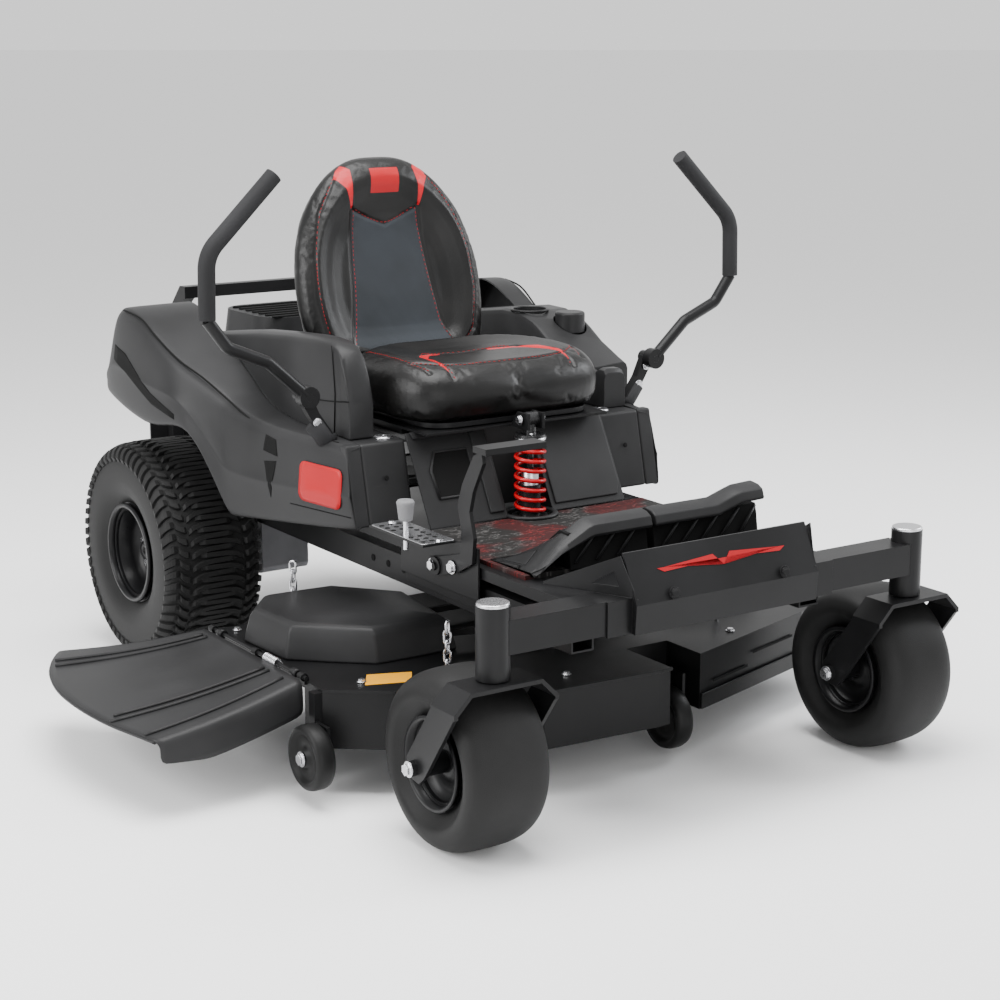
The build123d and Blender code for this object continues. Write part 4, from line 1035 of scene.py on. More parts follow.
# %% Fenders
# (bottom y, z), (top y, z), outer x
FENDER_STATIONS = (((-781, 448), (-746, 598), 380), ((-776, 447), (-738, 605), 383), ((-620, 428), (-600, 607), 404),
                   ((-470, 412), (-455, 607), 424), ((-352, 398), (-345, 636), 440), ((-338, 400), (-318, 652), 444),
                   ((-296, 500), (-270, 682), 466), ((-262, 588), (-200, 718), 498), ((-180, 577), (-130, 756), 508),
                   ((-105, 563), (-60, 792), 514), ((0, 580), (0, 808), 516), ((60, 592), (42, 806), 514),
                   ((110, 602), (70, 778), 510), ((148, 608), (112, 706), 502), ((158, 620), (140, 650), 494))
SIDE_ROWS = ((-16, 0.03), (-3, 0.0), (0, 0.03), (3, 0.36), (5, 0.42), (2, 0.48), (-1, 0.9), (-5, 0.965))


def fender_section(side, bottom, top, outer, inner):
    ring = [(side * (outer + dx), *lerp(bottom, top, t)) for dx, t in SIDE_ROWS]
    for dx, dz in ((-13, 1), (-24, 3)):
        ring.append((side * (outer + dx), top[0], top[1] + dz))
    ring.append((side * (inner + 8), top[0], top[1] + 4))
    ring.append((side * inner, top[0], top[1] + 4))
    return ring


for side, name in ((-1, "right"), (1, "left")):
    stations = []
    for bottom, top, outer in FENDER_STATIONS:
        inner = 349 if side < 0 or top[0] < -598 else 441
        stations.append(fender_section(side, bottom, top, outer, min(inner, outer - 32)))
    fender = skin(f"fender_{name}", stations, MATERIALS["body_plastic"], "platform", ["fenders"], offset=-side,
                  creases=((4, 0.6), (8, 0.7)))
    if side < 0:
        right_fender = fender
print("fender sections:", len(FENDER_STATIONS))


# %% Tubes and seams of painted shade
def tube(name, path, radius, material, body, sides=8, nodes=(), flat=1.0):
    """A round bar along points in millimetres."""
    rings = []
    line = [Vector(p) for p in path]
    normal = None
    for i, spot in enumerate(line):
        ahead = (line[min(i + 1, len(line) - 1)] - line[max(i - 1, 0)]).normalized()
        if normal is None:
            normal = ahead.orthogonal().normalized()
        normal = (normal - ahead * normal.dot(ahead)).normalized()
        across = ahead.cross(normal)
        ring = []
        for k in range(sides):
            a = 2 * math.pi * k / sides
            ring.append(tuple(spot + normal * radius * math.cos(a) + across * radius * flat * math.sin(a)))
        rings.append(ring)
    return dress(mesh_object(name, *loft(rings)), material, body, nodes)


# A near-black finish that stands in for shade: painted shade in seams, creases, holes, vents, slots, screw recesses and
# hollows.
MATERIALS["deep_gap"] = finish_of("deep_gap", (0.003, 0.003, 0.003), 0.8, edge=0, scuffs=0)
SEAM = [(-512, 14, 806), (-506, -62, 796), (-500, -128, 762), (-486, -204, 722), (-462, -272, 690),
        (-440, -330, 655), (-424, -400, 622), (-412, -460, 610), (-392, -560, 609.5), (-372, -700, 609)]
# Each fender seam is a thin near-black tube laid along it: painted shade in the groove.
for side, name in ((-1, "right"), (1, "left")):
    line = [(-side * x if side > 0 else x, y, z) for x, y, z in SEAM]
    tube(f"fender_seam_{name}", smooth_curve(line, 5), 2.2, MATERIALS["deep_gap"], "platform", 6)

# %% [markdown]
# ### Hips and consoles
# The hips stand beside the seat and the left one widens into a shelf with a cup holder and the fuel filler. These
# are closed lofts of sections across the machine, with the two holes cut by Boolean modifiers.


# %% Hips
def hip_section(side, y, low, top, inner, outer):
    ring = [(inner, low), (inner, top - 14), (inner + 4, top - 4), (inner + 13, top), (outer - 13, top - 1),
            (outer - 4, top - 6), (outer, top - 16), (outer, low)]
    return [(side * x, y, z) for x, z in ring]


RIGHT_TOPS = ((-701, 688), (-696, 712), (-686, 745), (-670, 778), (-650, 794), (-620, 803), (-560, 804), (-430, 796),
              (-300, 785), (-150, 765), (-6, 744), (0, 738))
LEFT_TOPS = ((-701, 688), (-694, 697), (-675, 697), (-634, 674), (-600, 684), (-590, 688), (-560, 700), (-498, 727),
             (-450, 756), (-420, 771), (-367, 784), (-300, 785), (-150, 765), (-6, 744), (0, 738))
right_hip = mesh_object("hip_right", *loft([hip_section(-1, y, 611.5, top, 290, 347) for y, top in RIGHT_TOPS]))
left_hip = mesh_object("hip_left", *loft([hip_section(1, y, 611.5, top, 290, 347 if y < -595 else 438)
                                          for y, top in LEFT_TOPS]))


def round_cutter(name, middle, radius, low, high):
    rings = [[(middle[0] + radius * math.cos(2 * math.pi * k / 64),
               middle[1] + radius * math.sin(2 * math.pi * k / 64), z)
              for k in range(64)] for z in (low, high)]
    return mesh_object(name, *loft(rings))


for cutter in (round_cutter("cup_cut", (335, -350), 38, 694, 900),
               round_cutter("filler_cut", (385, -440), 38, 600, 900)):
    add_modifier(left_hip, "BOOLEAN", object=cutter, operation="DIFFERENCE", solver="EXACT")
    keep_result(left_hip)
    bpy.data.objects.remove(cutter)
for obj in (right_hip, left_hip):
    round_edges(obj, 5, 3, 35)
    dress(obj, MATERIALS["body_plastic"], "platform", ["hip_panels"])
lip = lathe("cup_lip", [(38, 0), (44, 0), (45, 3), (42, 5), (38, 4)], (0, 0, 0), 64)
for vertex in lip.data.vertices:
    p = (vertex.co - AXLE) * 1000
    vertex.co = at(335 + p.y, -350 + p.z, 783 + p.x)
dress(lip, MATERIALS["body_plastic"], "platform")
# The hip's crease and seam are thin near-black tubes: painted shade in the grooves.
tube("hip_crease", [(-348.2, -640, 616), (-348.2, -646, 700), (-348.2, -636, 796)], 1.2, MATERIALS["deep_gap"],
     "platform", 6)
tube("hip_seam", smooth_curve([(-348, -702, 690), (-348.4, -560, 676), (-348, -420, 688)], 5), 1.3,
     MATERIALS["deep_gap"], "platform", 6)

# %% Consoles
for side, name in ((-1, "right"), (1, "left")):
    outline = [(-781, 448), (-745, 610), (-600, 610), (-600, 448)]
    rings = [[(side * x, y, z) for y, z in outline] for x in (243.5, 349)]
    obj = mesh_object(f"console_{name}", *loft(rings))
    round_edges(obj, 7, 4)
    dress(obj, MATERIALS["body_plastic"], "platform", ["consoles"])
    front = [(-781, 448), (-745, 610), (-722, 610), (-758, 448)]
    wrap = mesh_object(f"console_front_{name}", *loft([[(side * x, y, z) for y, z in front] for x in (348, 382)]))
    round_edges(wrap, 4, 3)
    dress(wrap, MATERIALS["body_plastic"], "platform")
    plug = lathe(f"console_plug_{name}", [(0.01, 0), (19, 0), (20, 2), (17, 5), (0.01, 6)], (0, 0, 0), 40)
    for vertex in plug.data.vertices:
        p = (vertex.co - AXLE) * 1000
        vertex.co = at(side * 273 + p.y, -708 + p.z, 609.5 + p.x)
    dress(plug, MATERIALS["bright_steel"], "platform")
print("hips and consoles done")

# %% [markdown]
# ### Badge, vents and side recess
# The red plate on the right fender is a plain rounded rectangle here. The two vents and the long recess behind them
# are near-black plates let into the side: painted shade in the openings and the recess.


# %% Small plates on the right side
def rounded_box(low, high, radius, steps=5):
    """Corner points of a rounded rectangle in (u, v)."""
    (x0, y0), (x1, y1) = low, high
    points = []
    for cx, cy, turn in ((x1 - radius, y1 - radius, 0), (x0 + radius, y1 - radius, 90),
                         (x0 + radius, y0 + radius, 180), (x1 - radius, y0 + radius, 270)):
        for k in range(steps + 1):
            a = math.radians(turn + 90 * k / steps)
            points.append((cx + radius * math.cos(a), cy + radius * math.sin(a)))
    return points


MATERIALS["badge_red"] = finish_of("badge_red", (0.36, 0.010, 0.014), 0.3, grain_scale=800, bump=0.0001, scuffs=0.1,
                                   cloud=0.06)
drape("side_badge", rounded_box((-742, 480), (-604, 562), 16), right_fender, from_right, 1.0, MATERIALS["badge_red"],
      "platform", 2.0)
# The vents, the long recess and the crease are near-black plates and a tube: painted shade in the openings and grooves.
for label, outline in (("vent_upper", [(-524, 556), (-474, 562), (-480, 596), (-516, 590)]),
                       ("vent_lower", [(-502, 466), (-478, 540), (-520, 546)]),
                       ("side_inlay", [(66, 690), (60, 724), (0, 712), (-120, 640), (-214, 606), (-214, 594),
                                       (-120, 616), (0, 672)])):
    drape(label, dense(outline), right_fender, from_right, 0.3, MATERIALS["deep_gap"], "platform", 0.5)
tube("side_crease", lay_line([(-770 + 20 * k, 470 - 0.5 * k) for k in range(11)], right_fender, from_right, 0.2), 1.2,
     MATERIALS["deep_gap"], "platform", 6)

# %% [markdown]
# ## Discharge chute
# The chute is a soft rubber-like wing that hangs from a hinge, with paired ribs that fan out from the hinge and a
# rounded front wall. Its surface is a grid between the hinge line and a curved outer edge.

# %% Chute
OUTER_EDGE = smooth_curve([(-832, -318), (-866, -366), (-905, -450), (-932, -560), (-938, -680), (-930, -790),
                           (-912, -880), (-900, -938)], 4)
HINGE_LINE = [(-600, -536 - (404 * k / (len(OUTER_EDGE) - 1))) for k in range(len(OUTER_EDGE))]
chute_rows = []
for (hx, hy), (ex, ey) in zip(HINGE_LINE, OUTER_EDGE):
    row = []
    for k in range(13):
        t = k / 12
        sag = 7 * math.sin(math.pi * t)
        row.append((hx + (ex - hx) * t, hy + (ey - hy) * t, 215 - 64 * t - sag))
    chute_rows.append(row)
last = chute_rows[-1]
for drop, out in ((6, 6), (18, 9), (45, 10), (64, 10)):
    chute_rows.append([(x + (6 if k == 12 else 0), y - min(out, 8), max(z - drop, 87 + 24 * k / 12))
                       for k, (x, y, z) in enumerate(last)])
chute = skin("chute_wing", chute_rows, MATERIALS["body_plastic"], "discharge_chute", ["chute"], 4.0, 1, 1.0)
for label, rear_y, tip in (("a", -560, (-868, -385)), ("b", -580, (-882, -420)), ("c", -830, (-934, -775)),
                           ("d", -850, (-928, -800)), ("e", -905, (-905, -905))):
    line = lay_line([lerp((-618, rear_y), tip, k / 14) for k in range(15)], chute, from_above, 1.5)
    tube(f"chute_rib_{label}", line, 3.6, MATERIALS["body_plastic"], "discharge_chute", 8)
rim_line = [(x, y, z - 1) for x, y, z in (r[12] for r in chute_rows[:len(OUTER_EDGE)])]
tube("chute_rim", rim_line, 3.2, MATERIALS["body_plastic"], "discharge_chute", 8)
for y in (-915, -600):
    ear = lathe(f"chute_ear_{-y}", [(4.3, 0), (9, 0), (9, 20), (4.3, 20)], (0, 0, 0), 24)
    for vertex in ear.data.vertices:
        p = (vertex.co - AXLE) * 1000
        vertex.co = at(-590 + p.y, y + p.x, 220 + p.z)
    dress(ear, MATERIALS["frame_paint"], "discharge_chute")
print("chute rows:", len(chute_rows))

# %% [markdown]
# ## Belt covers
# Each cover is a moulded lid over a spindle pulley: steep faceted sides, a rounded shoulder and a nearly flat top.

# %% Belt covers
COVER = [(-566, -640), (-561, -720), (-556, -800), (-490, -864), (-420, -925), (-330, -928), (-235, -925),
         (-220, -812), (-205, -700), (-262, -630), (-320, -560), (-405, -553), (-490, -548), (-528, -594)]
COVER_RINGS = ((1.0, 211), (0.985, 226), (0.955, 250), (0.93, 266), (0.89, 277), (0.82, 282), (0.6, 284), (0.05, 285))
for side, shift, name in ((1, 0, "right"), (-1, 120, "left")):
    outline = [(side * x + shift, y) for x, y in COVER]
    middle = (sum(p[0] for p in outline) / len(outline), sum(p[1] for p in outline) / len(outline))
    rings = [[(middle[0] + (x - middle[0]) * reach, middle[1] + (y - middle[1]) * reach, z) for x, y in outline]
             for reach, z in COVER_RINGS]
    cover = mesh_object(f"belt_cover_{name}", *loft(rings))
    round_edges(cover, 5, 3, 18)
    dress(cover, MATERIALS["body_plastic"], "deck", ["belt_covers"])
print("belt covers done")

# %% [markdown]
# ## Shock and spring
# The shock under the seat wears a bright red coil of seven turns. The wire is a spiral curve with a round profile.

# %% Tree: coil
coil, coil_in, coil_out = new_tree("coil", {
    "Turns": ("Float", 7.0), "Coil Radius": ("Float", 0.030), "Tall": ("Float", 0.15), "Wire": ("Float", 0.0044),
    "Place": ("Vector", (0, 0, 0)), "Material": ("Material", None)})
spiral = coil.nodes.new("GeometryNodeCurveSpiral")
spiral.inputs["Resolution"].default_value = 40
wire(coil, coil_in.outputs["Turns"], spiral.inputs["Rotations"])
wire(coil, coil_in.outputs["Coil Radius"], spiral.inputs["Start Radius"])
wire(coil, coil_in.outputs["Coil Radius"], spiral.inputs["End Radius"])
wire(coil, coil_in.outputs["Tall"], spiral.inputs["Height"])
section = coil.nodes.new("GeometryNodeCurvePrimitiveCircle")
section.inputs["Resolution"].default_value = 14
wire(coil, coil_in.outputs["Wire"], section.inputs["Radius"])
swept = coil.nodes.new("GeometryNodeCurveToMesh")
swept.inputs["Fill Caps"].default_value = True
wire(coil, spiral.outputs[0], swept.inputs["Curve"])
wire(coil, section.outputs[0], swept.inputs["Profile Curve"])
moved = coil.nodes.new("GeometryNodeTransform")
wire(coil, swept.outputs[0], moved.inputs["Geometry"])
wire(coil, coil_in.outputs["Place"], moved.inputs["Translation"])
close_tree(coil, coil_in, coil_out, moved.outputs["Geometry"])

# %% Spring and shock details
spring = grow("spring", coil, bpy.data.meshes.new("spring_seed"), "chassis", ["coil_spring"], True, Turns=7.0,
              Coil_Radius=0.0292, Tall=0.142, Wire=0.0044, Place=at(0, -838, 449), Material=MATERIALS["spring_red"])
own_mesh(spring)


def upright(name, profile, x, y, z, material, body, steps=48, nodes=()):
    """A closed profile of (radius, height) turned about an upright line."""
    obj = lathe(name, profile, (0, 0, 0), steps)
    for vertex in obj.data.vertices:
        p = (vertex.co - AXLE) * 1000
        vertex.co = at(x + p.y, y + p.z, z + p.x)
    return dress(obj, material, body, nodes)


upright("shock_tube", [(7.3, 0), (17, 0), (18, 4), (18, 88), (16, 92), (7.3, 92)], 0, -838, 442,
        MATERIALS["bright_steel"], "chassis")
upright("spring_collar", [(7.2, 0), (30, 0), (33, 2), (33, 7), (26, 9), (12, 11), (12, 16), (7.2, 16)], 0, -838, 597,
        MATERIALS["bright_steel"], "platform")
print("spring turns:", 7)

# %% [markdown]
# ## Hanger chains
# The deck hangs on four short chains. One stadium-shaped link is made in code, and the tree puts a link on every
# point, each turned a quarter against the last one.


# %% Link and chain tree
def link_mesh(length, width, wire_radius):
    path = []
    straight = length / 2 - width / 2
    for k in range(20):
        a = 2 * math.pi * k / 20
        path.append(Vector((width / 2 * math.cos(a), 0,
                            width / 2 * math.sin(a) + math.copysign(straight, math.sin(a)))))
    points, faces = [], []
    for k, spot in enumerate(path):
        ahead = (path[(k + 1) % 20] - path[k - 1]).normalized()
        across = ahead.cross(Vector((0, 1, 0)))
        for s in range(6):
            a = 2 * math.pi * s / 6
            points.append((spot + across * wire_radius * math.cos(a)
                           + Vector((0, wire_radius * math.sin(a), 0))) / 1000)
    for k in range(20):
        for s in range(6):
            a, b = k * 6 + s, k * 6 + (s + 1) % 6
            c, d = ((k + 1) % 20) * 6 + (s + 1) % 6, ((k + 1) % 20) * 6 + s
            faces.append((a, b, c, d))
    data = bpy.data.meshes.new("link")
    data.from_pydata(points, [], faces)
    work = bmesh.new()
    work.from_mesh(data)
    bmesh.ops.recalc_face_normals(work, faces=work.faces)
    work.to_mesh(data)
    work.free()
    return data


link_object = bpy.data.objects.new("link", link_mesh(27, 14, 2.6))
chain, chain_in, chain_out = new_tree("chain", {"Link": ("Object", None), "Material": ("Material", None)})
shape = chain.nodes.new("GeometryNodeObjectInfo")
wire(chain, chain_in.outputs["Link"], shape.inputs["Object"])
counted = chain.nodes.new("GeometryNodeInputIndex").outputs[0]
quarter = chain.nodes.new("ShaderNodeCombineXYZ")
wire(chain, math_node(chain, "MULTIPLY_ADD", counted, math.pi / 2, 0.6), quarter.inputs["Z"])
hung = chain.nodes.new("GeometryNodeInstanceOnPoints")
wire(chain, chain_in.outputs["Geometry"], hung.inputs["Points"])
wire(chain, shape.outputs["Geometry"], hung.inputs["Instance"])
wire(chain, quarter.outputs[0], hung.inputs["Rotation"])
close_tree(chain, chain_in, chain_out, hung.outputs["Instances"])
for label, x, y, top in (("a", -335, -1045, 318), ("b", 335, -1045, 318),
                         ("c", -400, -545, 345), ("d", 400, -545, 345)):
    count = int((top - 214) / 19)
    spots = [((x, y, 226 + 19.0 * k), (0, 0, 1)) for k in range(count)]
    grow(f"chain_{label}", chain, points_mesh(f"chain_points_{label}", spots), "deck", ["hanger_chains"], True,
         Link=link_object, Material=MATERIALS["bright_steel"])
bpy.data.objects.remove(link_object)

# %% [markdown]
# ## Small parts
# Bright bolts, the perforated height plate with its grey knob, the scalp wheels, labels without text and the red
# stripe on the front guard bring the picture to life. All bolts use the one fastener tree.

# %% Scalp wheels
for name, (x, y, z) in (("right", (-622, -1022, 92)), ("front", (97, -1184, 80))):
    profile = [(6.2, -19), (17, -19), (18, -12), (44, -11), (47, -18), (56, -20), (61, -16), (63.4, -8), (63.4, 8),
               (61, 16), (56, 20), (47, 18), (44, 11), (18, 12), (17, 19), (6.2, 19)]
    dress(lathe(f"scalp_roller_{name}", profile, (x, y, z), 72), MATERIALS["wheel_plastic"], f"scalp_roller_{name}",
          [f"scalp_wheel_{name}"])
    bolts(f"scalp_bolt_{name}", "deck", [((x - 22, y, z), (-1, 0, 0))], 11, 7)

# %% Bolts
bolts("guard_bolts", "chassis", [((x, -1481, 441), (0, -0.95, 0.3)) for x in (-130, 130)], 8, 4, "frame_paint", 1.5, 20)
bolts("pedal_bolts", "pedal", [((-324, -975, 410), (-1, 0, 0)), ((-324, -1045, 420), (-1, 0, 0))], 10, 7)
# The shroud and console screws are near-black discs: painted shade in their recesses.
bolts("shroud_bolts", "platform", [((x, -781, 548), (0, -0.88, 0.47)) for x in (-150, 190)], 4, 2, "deep_gap", 1.3, 16)
bolts("console_bolts", "platform", [((-300, -766, 540), (0, -0.97, 0.2)), ((300, -766, 540), (0, -0.97, 0.2))], 4, 2,
      "deep_gap", 1.3, 16)
bolts("hinge_bolts", "platform", [((-26, -838, 641), (-1, 0, 0)), ((26, -838, 641), (1, 0, 0))], 8, 6)
bolts("deck_bolts", "deck", [((-500, -1000, 212), (0, 0, 1)), ((-150, -1180, 212), (0, 0, 1)),
                              ((300, -1130, 212), (0, 0, 1)),
                             ((620, -900, 212), (0, 0, 1)), ((-540, -560, 212), (0, 0, 1))], 7, 5)
bolts("index_bolts", "chassis", [((-340, y, 470.5), (0, 0, 1)) for y in (-1028, -852)], 7, 4)
for side, name in ((-1, "right"), (1, "left")):
    bolts(f"lever_bolts_{name}", f"drive_arm_{name}", [((side * 424, -676, 690), (0, -1, 0)),
                                                       ((side * 405, -674, 650), (0, -1, 0))], 7, 6)
    # The rail's holes are near-black discs: painted shade.
    holes = [((side * 295.6, y, 361), (side, 0, 0)) for y in range(-1180, -640, 60)]
    bolts(f"rail_holes_{name}", "chassis", holes, 7, 0.6, "deep_gap", 1.05, 20)

# %% Height plate and knob
MATERIALS["knob_grey"] = finish_of("knob_grey", (0.16, 0.16, 0.165), 0.45, grain_scale=900)
outline = rounded_box((-384, -1038), (-311, -842), 8)
plate("index_face", outline, lambda u, v, w: (u, v, 470.2 + w), 1.4, MATERIALS["bright_steel"], "chassis", bevel=0.4)
# The plate's holes are near-black discs: painted shade.
holes = [((x, y, 471.4), (0, 0, 1)) for y in range(-1020, -850, 22) for x in (-372, -352, -332)
         if abs(y + 945) > 14 or x > -340]
bolts("index_holes", "chassis", holes, 5.5, 0.5, "deep_gap", 1.04, 18)
upright("height_knob", [(5.2, 0), (13, 0), (14, 4), (17, 30), (18, 36), (15, 40), (0.01, 41), (0.01, 38), (5.2, 38)],
        -365, -945, 498, MATERIALS["knob_grey"], "pin")

# %% Labels without text
MATERIALS["label_yellow"] = finish_of("label_yellow", (0.60, 0.27, 0.008), 0.45, edge=0, scuffs=0.2, cloud=0.1)
label = [(-505, -1022), (-420, -1052), (-388, -1000), (-470, -968)]
plate("deck_label", label, lambda u, v, w: (u, v, 211.1 + w), 0.6, MATERIALS["label_yellow"], "deck", bevel=0)
MATERIALS["stripe_red"] = finish_of("stripe_red", (0.32, 0.006, 0.010), 0.4, edge=0, scuffs=0.15, cloud=0.08)


def guard_place(u, v, w):
    """A point on the upper face of the front guard: u across, v up from its fold."""
    y0, z0, y1, z1 = -1480, 429, -1437, 516
    length = math.hypot(y1 - y0, z1 - z0)
    t = v / length
    return (u, y0 + (y1 - y0) * t - w * (z1 - z0) / length, z0 + (z1 - z0) * t + w * (y1 - y0) / length)


plate("guard_stripe", [(-150, 60), (-136, 52), (0, 58), (136, 52), (150, 60), (136, 60), (20, 68), (0, 46), (-20, 68),
                       (-136, 60)], lambda u, v, w: guard_place(u, v, w + 0.2), 0.8, MATERIALS["stripe_red"], "chassis",
      bevel=0)
print("labels and stripe done")

# %% [markdown]
# ## Floor mat
# The rubber floor mat has a raised, broken camouflage-like relief in black and grey, with red patches near its
# middle. Stretched noise cut at two levels gives such islands.

# %% Mat material
mat_rubber = finish_of("mat_rubber", (0.014, 0.013, 0.013), 0.5, grain_scale=800, bump=0.0004, edge=0)
tree = mat_rubber.node_tree
bsdf = tree.nodes["Principled BSDF"]
coords = tree.nodes.new("ShaderNodeTexCoord").outputs["Object"]
stretch = tree.nodes.new("ShaderNodeMapping")
stretch.inputs["Scale"].default_value = (16, 52, 1)
wire(tree, coords, stretch.inputs["Vector"])
islands = noise_node(tree, stretch.outputs["Vector"], 1.0, 3.0, 0.6)
line = math_node(tree, "SUBTRACT", 1.0, map_range(
    tree, math_node(tree, "ABSOLUTE", math_node(tree, "SUBTRACT", islands, 0.5)),
                                                  0.004, 0.02))
red_zone = map_range(tree, noise_node(tree, coords, 7, 2.0), 0.48, 0.56)
line_colour = mix_colour(tree, red_zone, (0.075, 0.072, 0.07, 1), (0.13, 0.012, 0.012, 1))
base = mix_colour(tree, red_zone, (0.013, 0.0125, 0.012, 1), (0.030, 0.008, 0.008, 1))
wire(tree, mix_colour(tree, line, base, line_colour), bsdf.inputs["Base Color"])
relief = tree.nodes.new("ShaderNodeBump")
relief.inputs["Distance"].default_value = 0.002
wire(tree, map_range(tree, islands, 0.47, 0.53), relief.inputs["Height"])
wire(tree, relief.outputs["Normal"], bsdf.inputs["Normal"])
frame["nodes"]["floor_mat"].data.materials[0] = mat_rubber
MATERIALS["mat_rubber"] = mat_rubber
upright("floor_ring", [(46, 0), (58, 0), (59, 3), (57, 6), (49, 6), (46, 3)], 0, -838, 440.5, MATERIALS["body_plastic"],
        "platform", 72)

# %% [markdown]
# A dark tray under the seat closes the gap between the side panels and the shroud.

# %% under-seat tray
tray = mesh_object("under_seat_tray", *loft([[(x, y, z) for x, y in
                   ((-243, -742), (243, -742), (243, -250), (-243, -250))] for z in (604, 611)]))
dress(tray, MATERIALS["body_plastic"], "platform")
print("under-seat tray made")


# %% [markdown]
# ## Footrests
# Two ramped footrests fill the front of the floor. Each has a thick smooth rim over a hollow with slanted ribs, and a
# near-black plate in the hollow is painted shade; the right one falls away beside the foot lift.


# %% Footrests
def tread_section(x, share, reach=0.0, lift=0.0):
    """A closed section at x; share lowers the ridge and reach moves the front lip."""
    ridge = 441 + (88 + lift) * share
    lip = 441 + (84 + lift) * share
    ring = [(-1100, 441), (-1122, 441 + 17 * share), (-1204, ridge - 6 * share), (-1216, ridge),
            (-1236 - reach, lip + 1),
            (-1249 - reach, lip - 6), (-1255 - reach, lip - 22 * share), (-1253 - reach, lip - 27 * share),
            (-1244 - reach, lip - 27 * share), (-1236 - reach, lip - 14 * share), (-1212, ridge - 16 * share),
            (-1118, 441 + 2 * share)]
    return [(x, y, z) for y, z in ring]


RIGHT_TREAD = [(-5, 1), (-12, 1), (-100, 1), (-137, 1), (-150, 0.96), (-200, 0.66), (-217, 0.55),
               (-262, 0.1), (-274, 0.03)]
LEFT_TREAD = [(5, 1, 0, 0), (12, 1, 0, 0), (120, 1, 0, 0), (160, 1, 0, 0), (205, 1, 0, 14), (219, 1, 2, 18),
              (262, 1, 4, 20), (270, 1, 4, 20)]
for name, run in (("right", RIGHT_TREAD), ("left", LEFT_TREAD)):
    obj = mesh_object(f"footrest_{name}", *loft([tread_section(*row) for row in run]))
    round_edges(obj, 3, 3, 25)
    dress(obj, MATERIALS["body_plastic"], "platform", ["footrests"])
# A near-black plate fills each hollow: painted shade.
HOLLOW = [(-1120, 441), (-1212, 510), (-1238, 508), (-1243, 488), (-1250, 441)]
for name, span in (("right", (-190, -8)), ("left", (8, 266))):
    rings = [[(x, y + 3, z - 1) for y, z in HOLLOW] for x in span]
    dress(mesh_object(f"footrest_core_{name}", *loft(rings)), MATERIALS["deep_gap"], "platform", smooth=False)
for k, (x0, x1) in enumerate(((-180, -130), (-130, -82), (-82, -34), (24, 72),
                                  (72, 120), (120, 168), (168, 216), (216, 258))):
    tube(f"footrest_rib_{k}", [(x0, -1247, 452), (x1, -1244, 506)], 3, MATERIALS["body_plastic"], "platform", 6)

# %% [markdown]
# ## Shroud and deck details
# The front shroud has a window behind the lift pedal and raised borders, the deck's nose has a lower flange and two
# pressed slots, and the chute hinge carries a bright spring. The window and the two slots are near-black plates:
# painted shade in the openings.


# %% Shroud details
def shroud_place(u, v, w):
    """A point on the leaning shroud: u across, v up from the floor, w out of it."""
    y0, z0, y1, z1 = -842, 441, -745, 621
    length = math.hypot(y1 - y0, z1 - z0)
    t = v / length
    return (u, y0 + (y1 - y0) * t - w * (z1 - z0) / length, z0 + (z1 - z0) * t + w * (y1 - y0) / length)


# The window is a near-black plate: painted shade in the opening behind the pedal.
window = [(-204, 60), (-128, 60), (-110, 84), (-110, 158), (-190, 158), (-208, 120)]
plate("shroud_window", window, lambda u, v, w: shroud_place(u, v, w + 0.2), 0.8,
      MATERIALS["deep_gap"], "platform", bevel=0)
frame_line = [shroud_place(u, v, 1.5) for u, v in window + window[:1]]
tube("shroud_window_rim", frame_line, 3.0, MATERIALS["body_plastic"], "platform", 8)
panel = [(66, 14), (226, 14), (238, 40), (238, 196), (84, 202), (66, 188)]
plate("shroud_panel", panel, lambda u, v, w: shroud_place(u, v, w + 0.1), 4,
      MATERIALS["body_plastic"], "platform", bevel=3)
panel = [(-62, 14), (-96, 14), (-96, 190), (-62, 196)]
plate("shroud_pillar", panel[::-1], lambda u, v, w: shroud_place(u, v, w + 0.1), 5,
      MATERIALS["body_plastic"], "platform",
      bevel=3)
plate("shroud_top", [(-230, 190), (-104, 190), (-66, 202), (66, 202), (66, 205), (-236, 205)],
      lambda u, v, w: shroud_place(u, v, w + 0.1), 5,
      MATERIALS["body_plastic"], "platform", bevel=2)
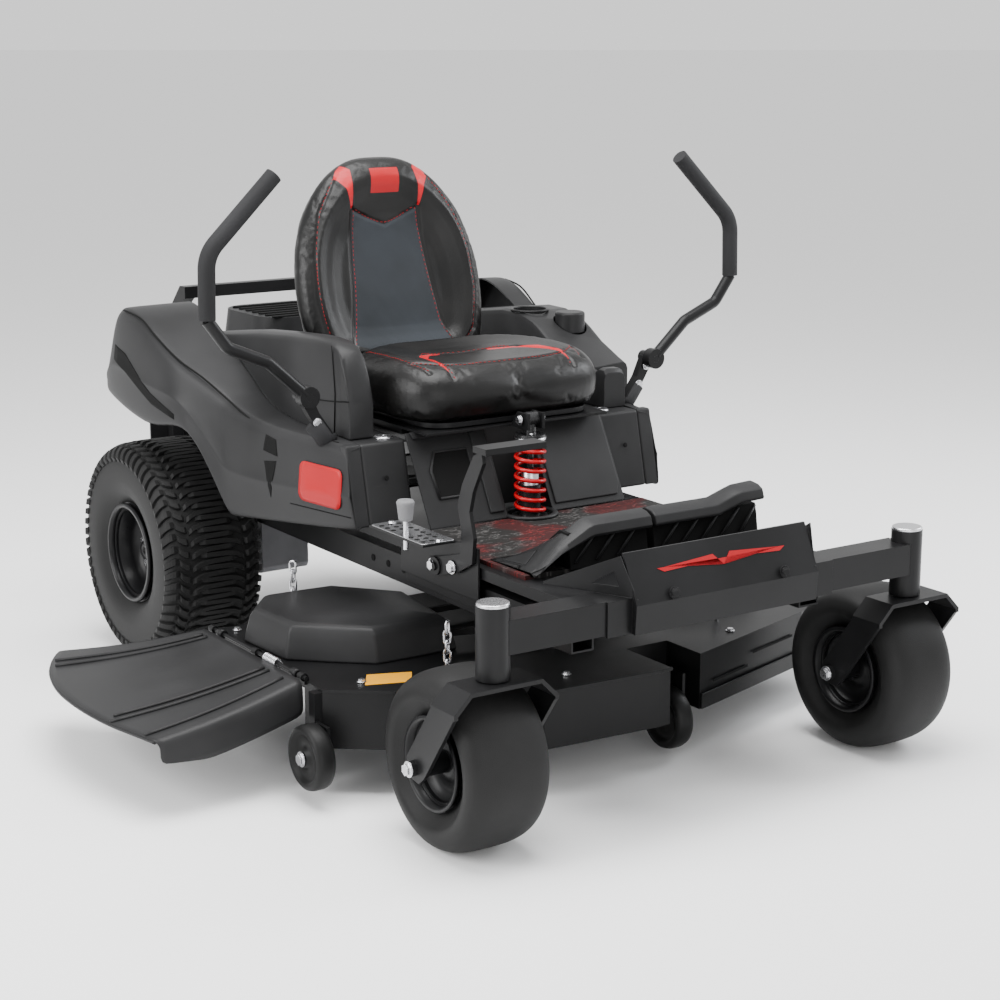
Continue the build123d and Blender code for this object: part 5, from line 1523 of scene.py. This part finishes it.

# %% Deck details
# The flange is deck paint; the two nose slots are near-black strips: painted shade in the pressed slots.
NOSE = ((150, -1220), (518, -1107), (680, -1034))
for k, ((x0, y0), (x1, y1)) in enumerate(zip(NOSE, NOSE[1:])):
    out = Vector((y1 - y0, -(x1 - x0), 0)).normalized()
    run = Vector((x1 - x0, y1 - y0, 0))
    base = Vector((x0, y0, 0))
    for label, z0, z1, depth, finish, share in (("flange", 96, 128, 5, "deck_paint", (0.0, 1.0)),
                                                ("slot_low", 142, 147, 0.8, "deep_gap", (0.12, 0.45)),
                                                ("slot_high", 166, 171, 0.8, "deep_gap", (0.5, 0.9))):
        a, b = base + run * share[0], base + run * share[1]
        rings = [[tuple(p + out * d + Vector((0, 0, z))) for p, d in ((a, 0.1), (a, depth), (b, depth), (b, 0.1))]
                 for z in (z0, z1)]
        obj = mesh_object(f"nose_{label}_{k}", *loft(rings))
        if depth > 2:
            round_edges(obj, 1.5, 2)
        dress(obj, MATERIALS[finish], "deck", smooth=False)
for k, ((x0, y0), (x1, y1)) in enumerate(zip(((-585, -1002), (-478, -1085), (-243, -1243), (18, -1260)),
                                             ((-478, -1085), (-243, -1243), (18, -1260), (45, -1257)))):
    out = Vector((y1 - y0, -(x1 - x0), 0)).normalized()
    rings = [[(p[0] + out.x * d, p[1] + out.y * d, z) for p, d in (((x0, y0), 0), ((x0, y0), 5), ((x1, y1), 5),
                                                                  ((x1, y1), 0))] for z in (207, 213)]
    dress(mesh_object(f"deck_lip_{k}", *loft(rings)), MATERIALS["deck_paint"], "deck", smooth=False)
grow("hinge_spring", coil, bpy.data.meshes.new("hinge_seed"), "deck", (), True, Turns=9.0, Coil_Radius=0.0085,
     Tall=0.05, Wire=0.0016, Place=(0, 0, 0), Material=MATERIALS["bright_steel"])
hinge_spring = bpy.data.objects["hinge_spring"]
for vertex in hinge_spring.data.vertices:
    c = vertex.co.copy()
    vertex.co = at(-590, -835, 220) + Vector((c.x, c.z, c.y))

# %% Levers and engine
for side, name in ((-1, "right"), (1, "left")):
    tube(f"lever_boot_{name}", [(side * 366, -664, 607), (side * 384, -664, 612), (side * 408, -664, 645)], 15,
         MATERIALS["grip_foam"], f"drive_arm_{name}", 14, flat=1.3)
# The louvre slots are near-black plates: painted shade in the openings.
for k in range(7):
    plate(f"engine_louvre_{k}", rounded_box((-110, 70 + 34 * k), (110, 84 + 34 * k), 6),
          lambda u, v, w: (u, v, 750.2 + w), 4, MATERIALS["deep_gap"], "chassis", bevel=1)
plate("engine_badge", rounded_box((-44, 100), (44, 130), 8), lambda u, v, w: (u, 44 - w, 640 + (v - 100)), 2,
      MATERIALS["badge_red"], "chassis", bevel=0.6)
print("details done")
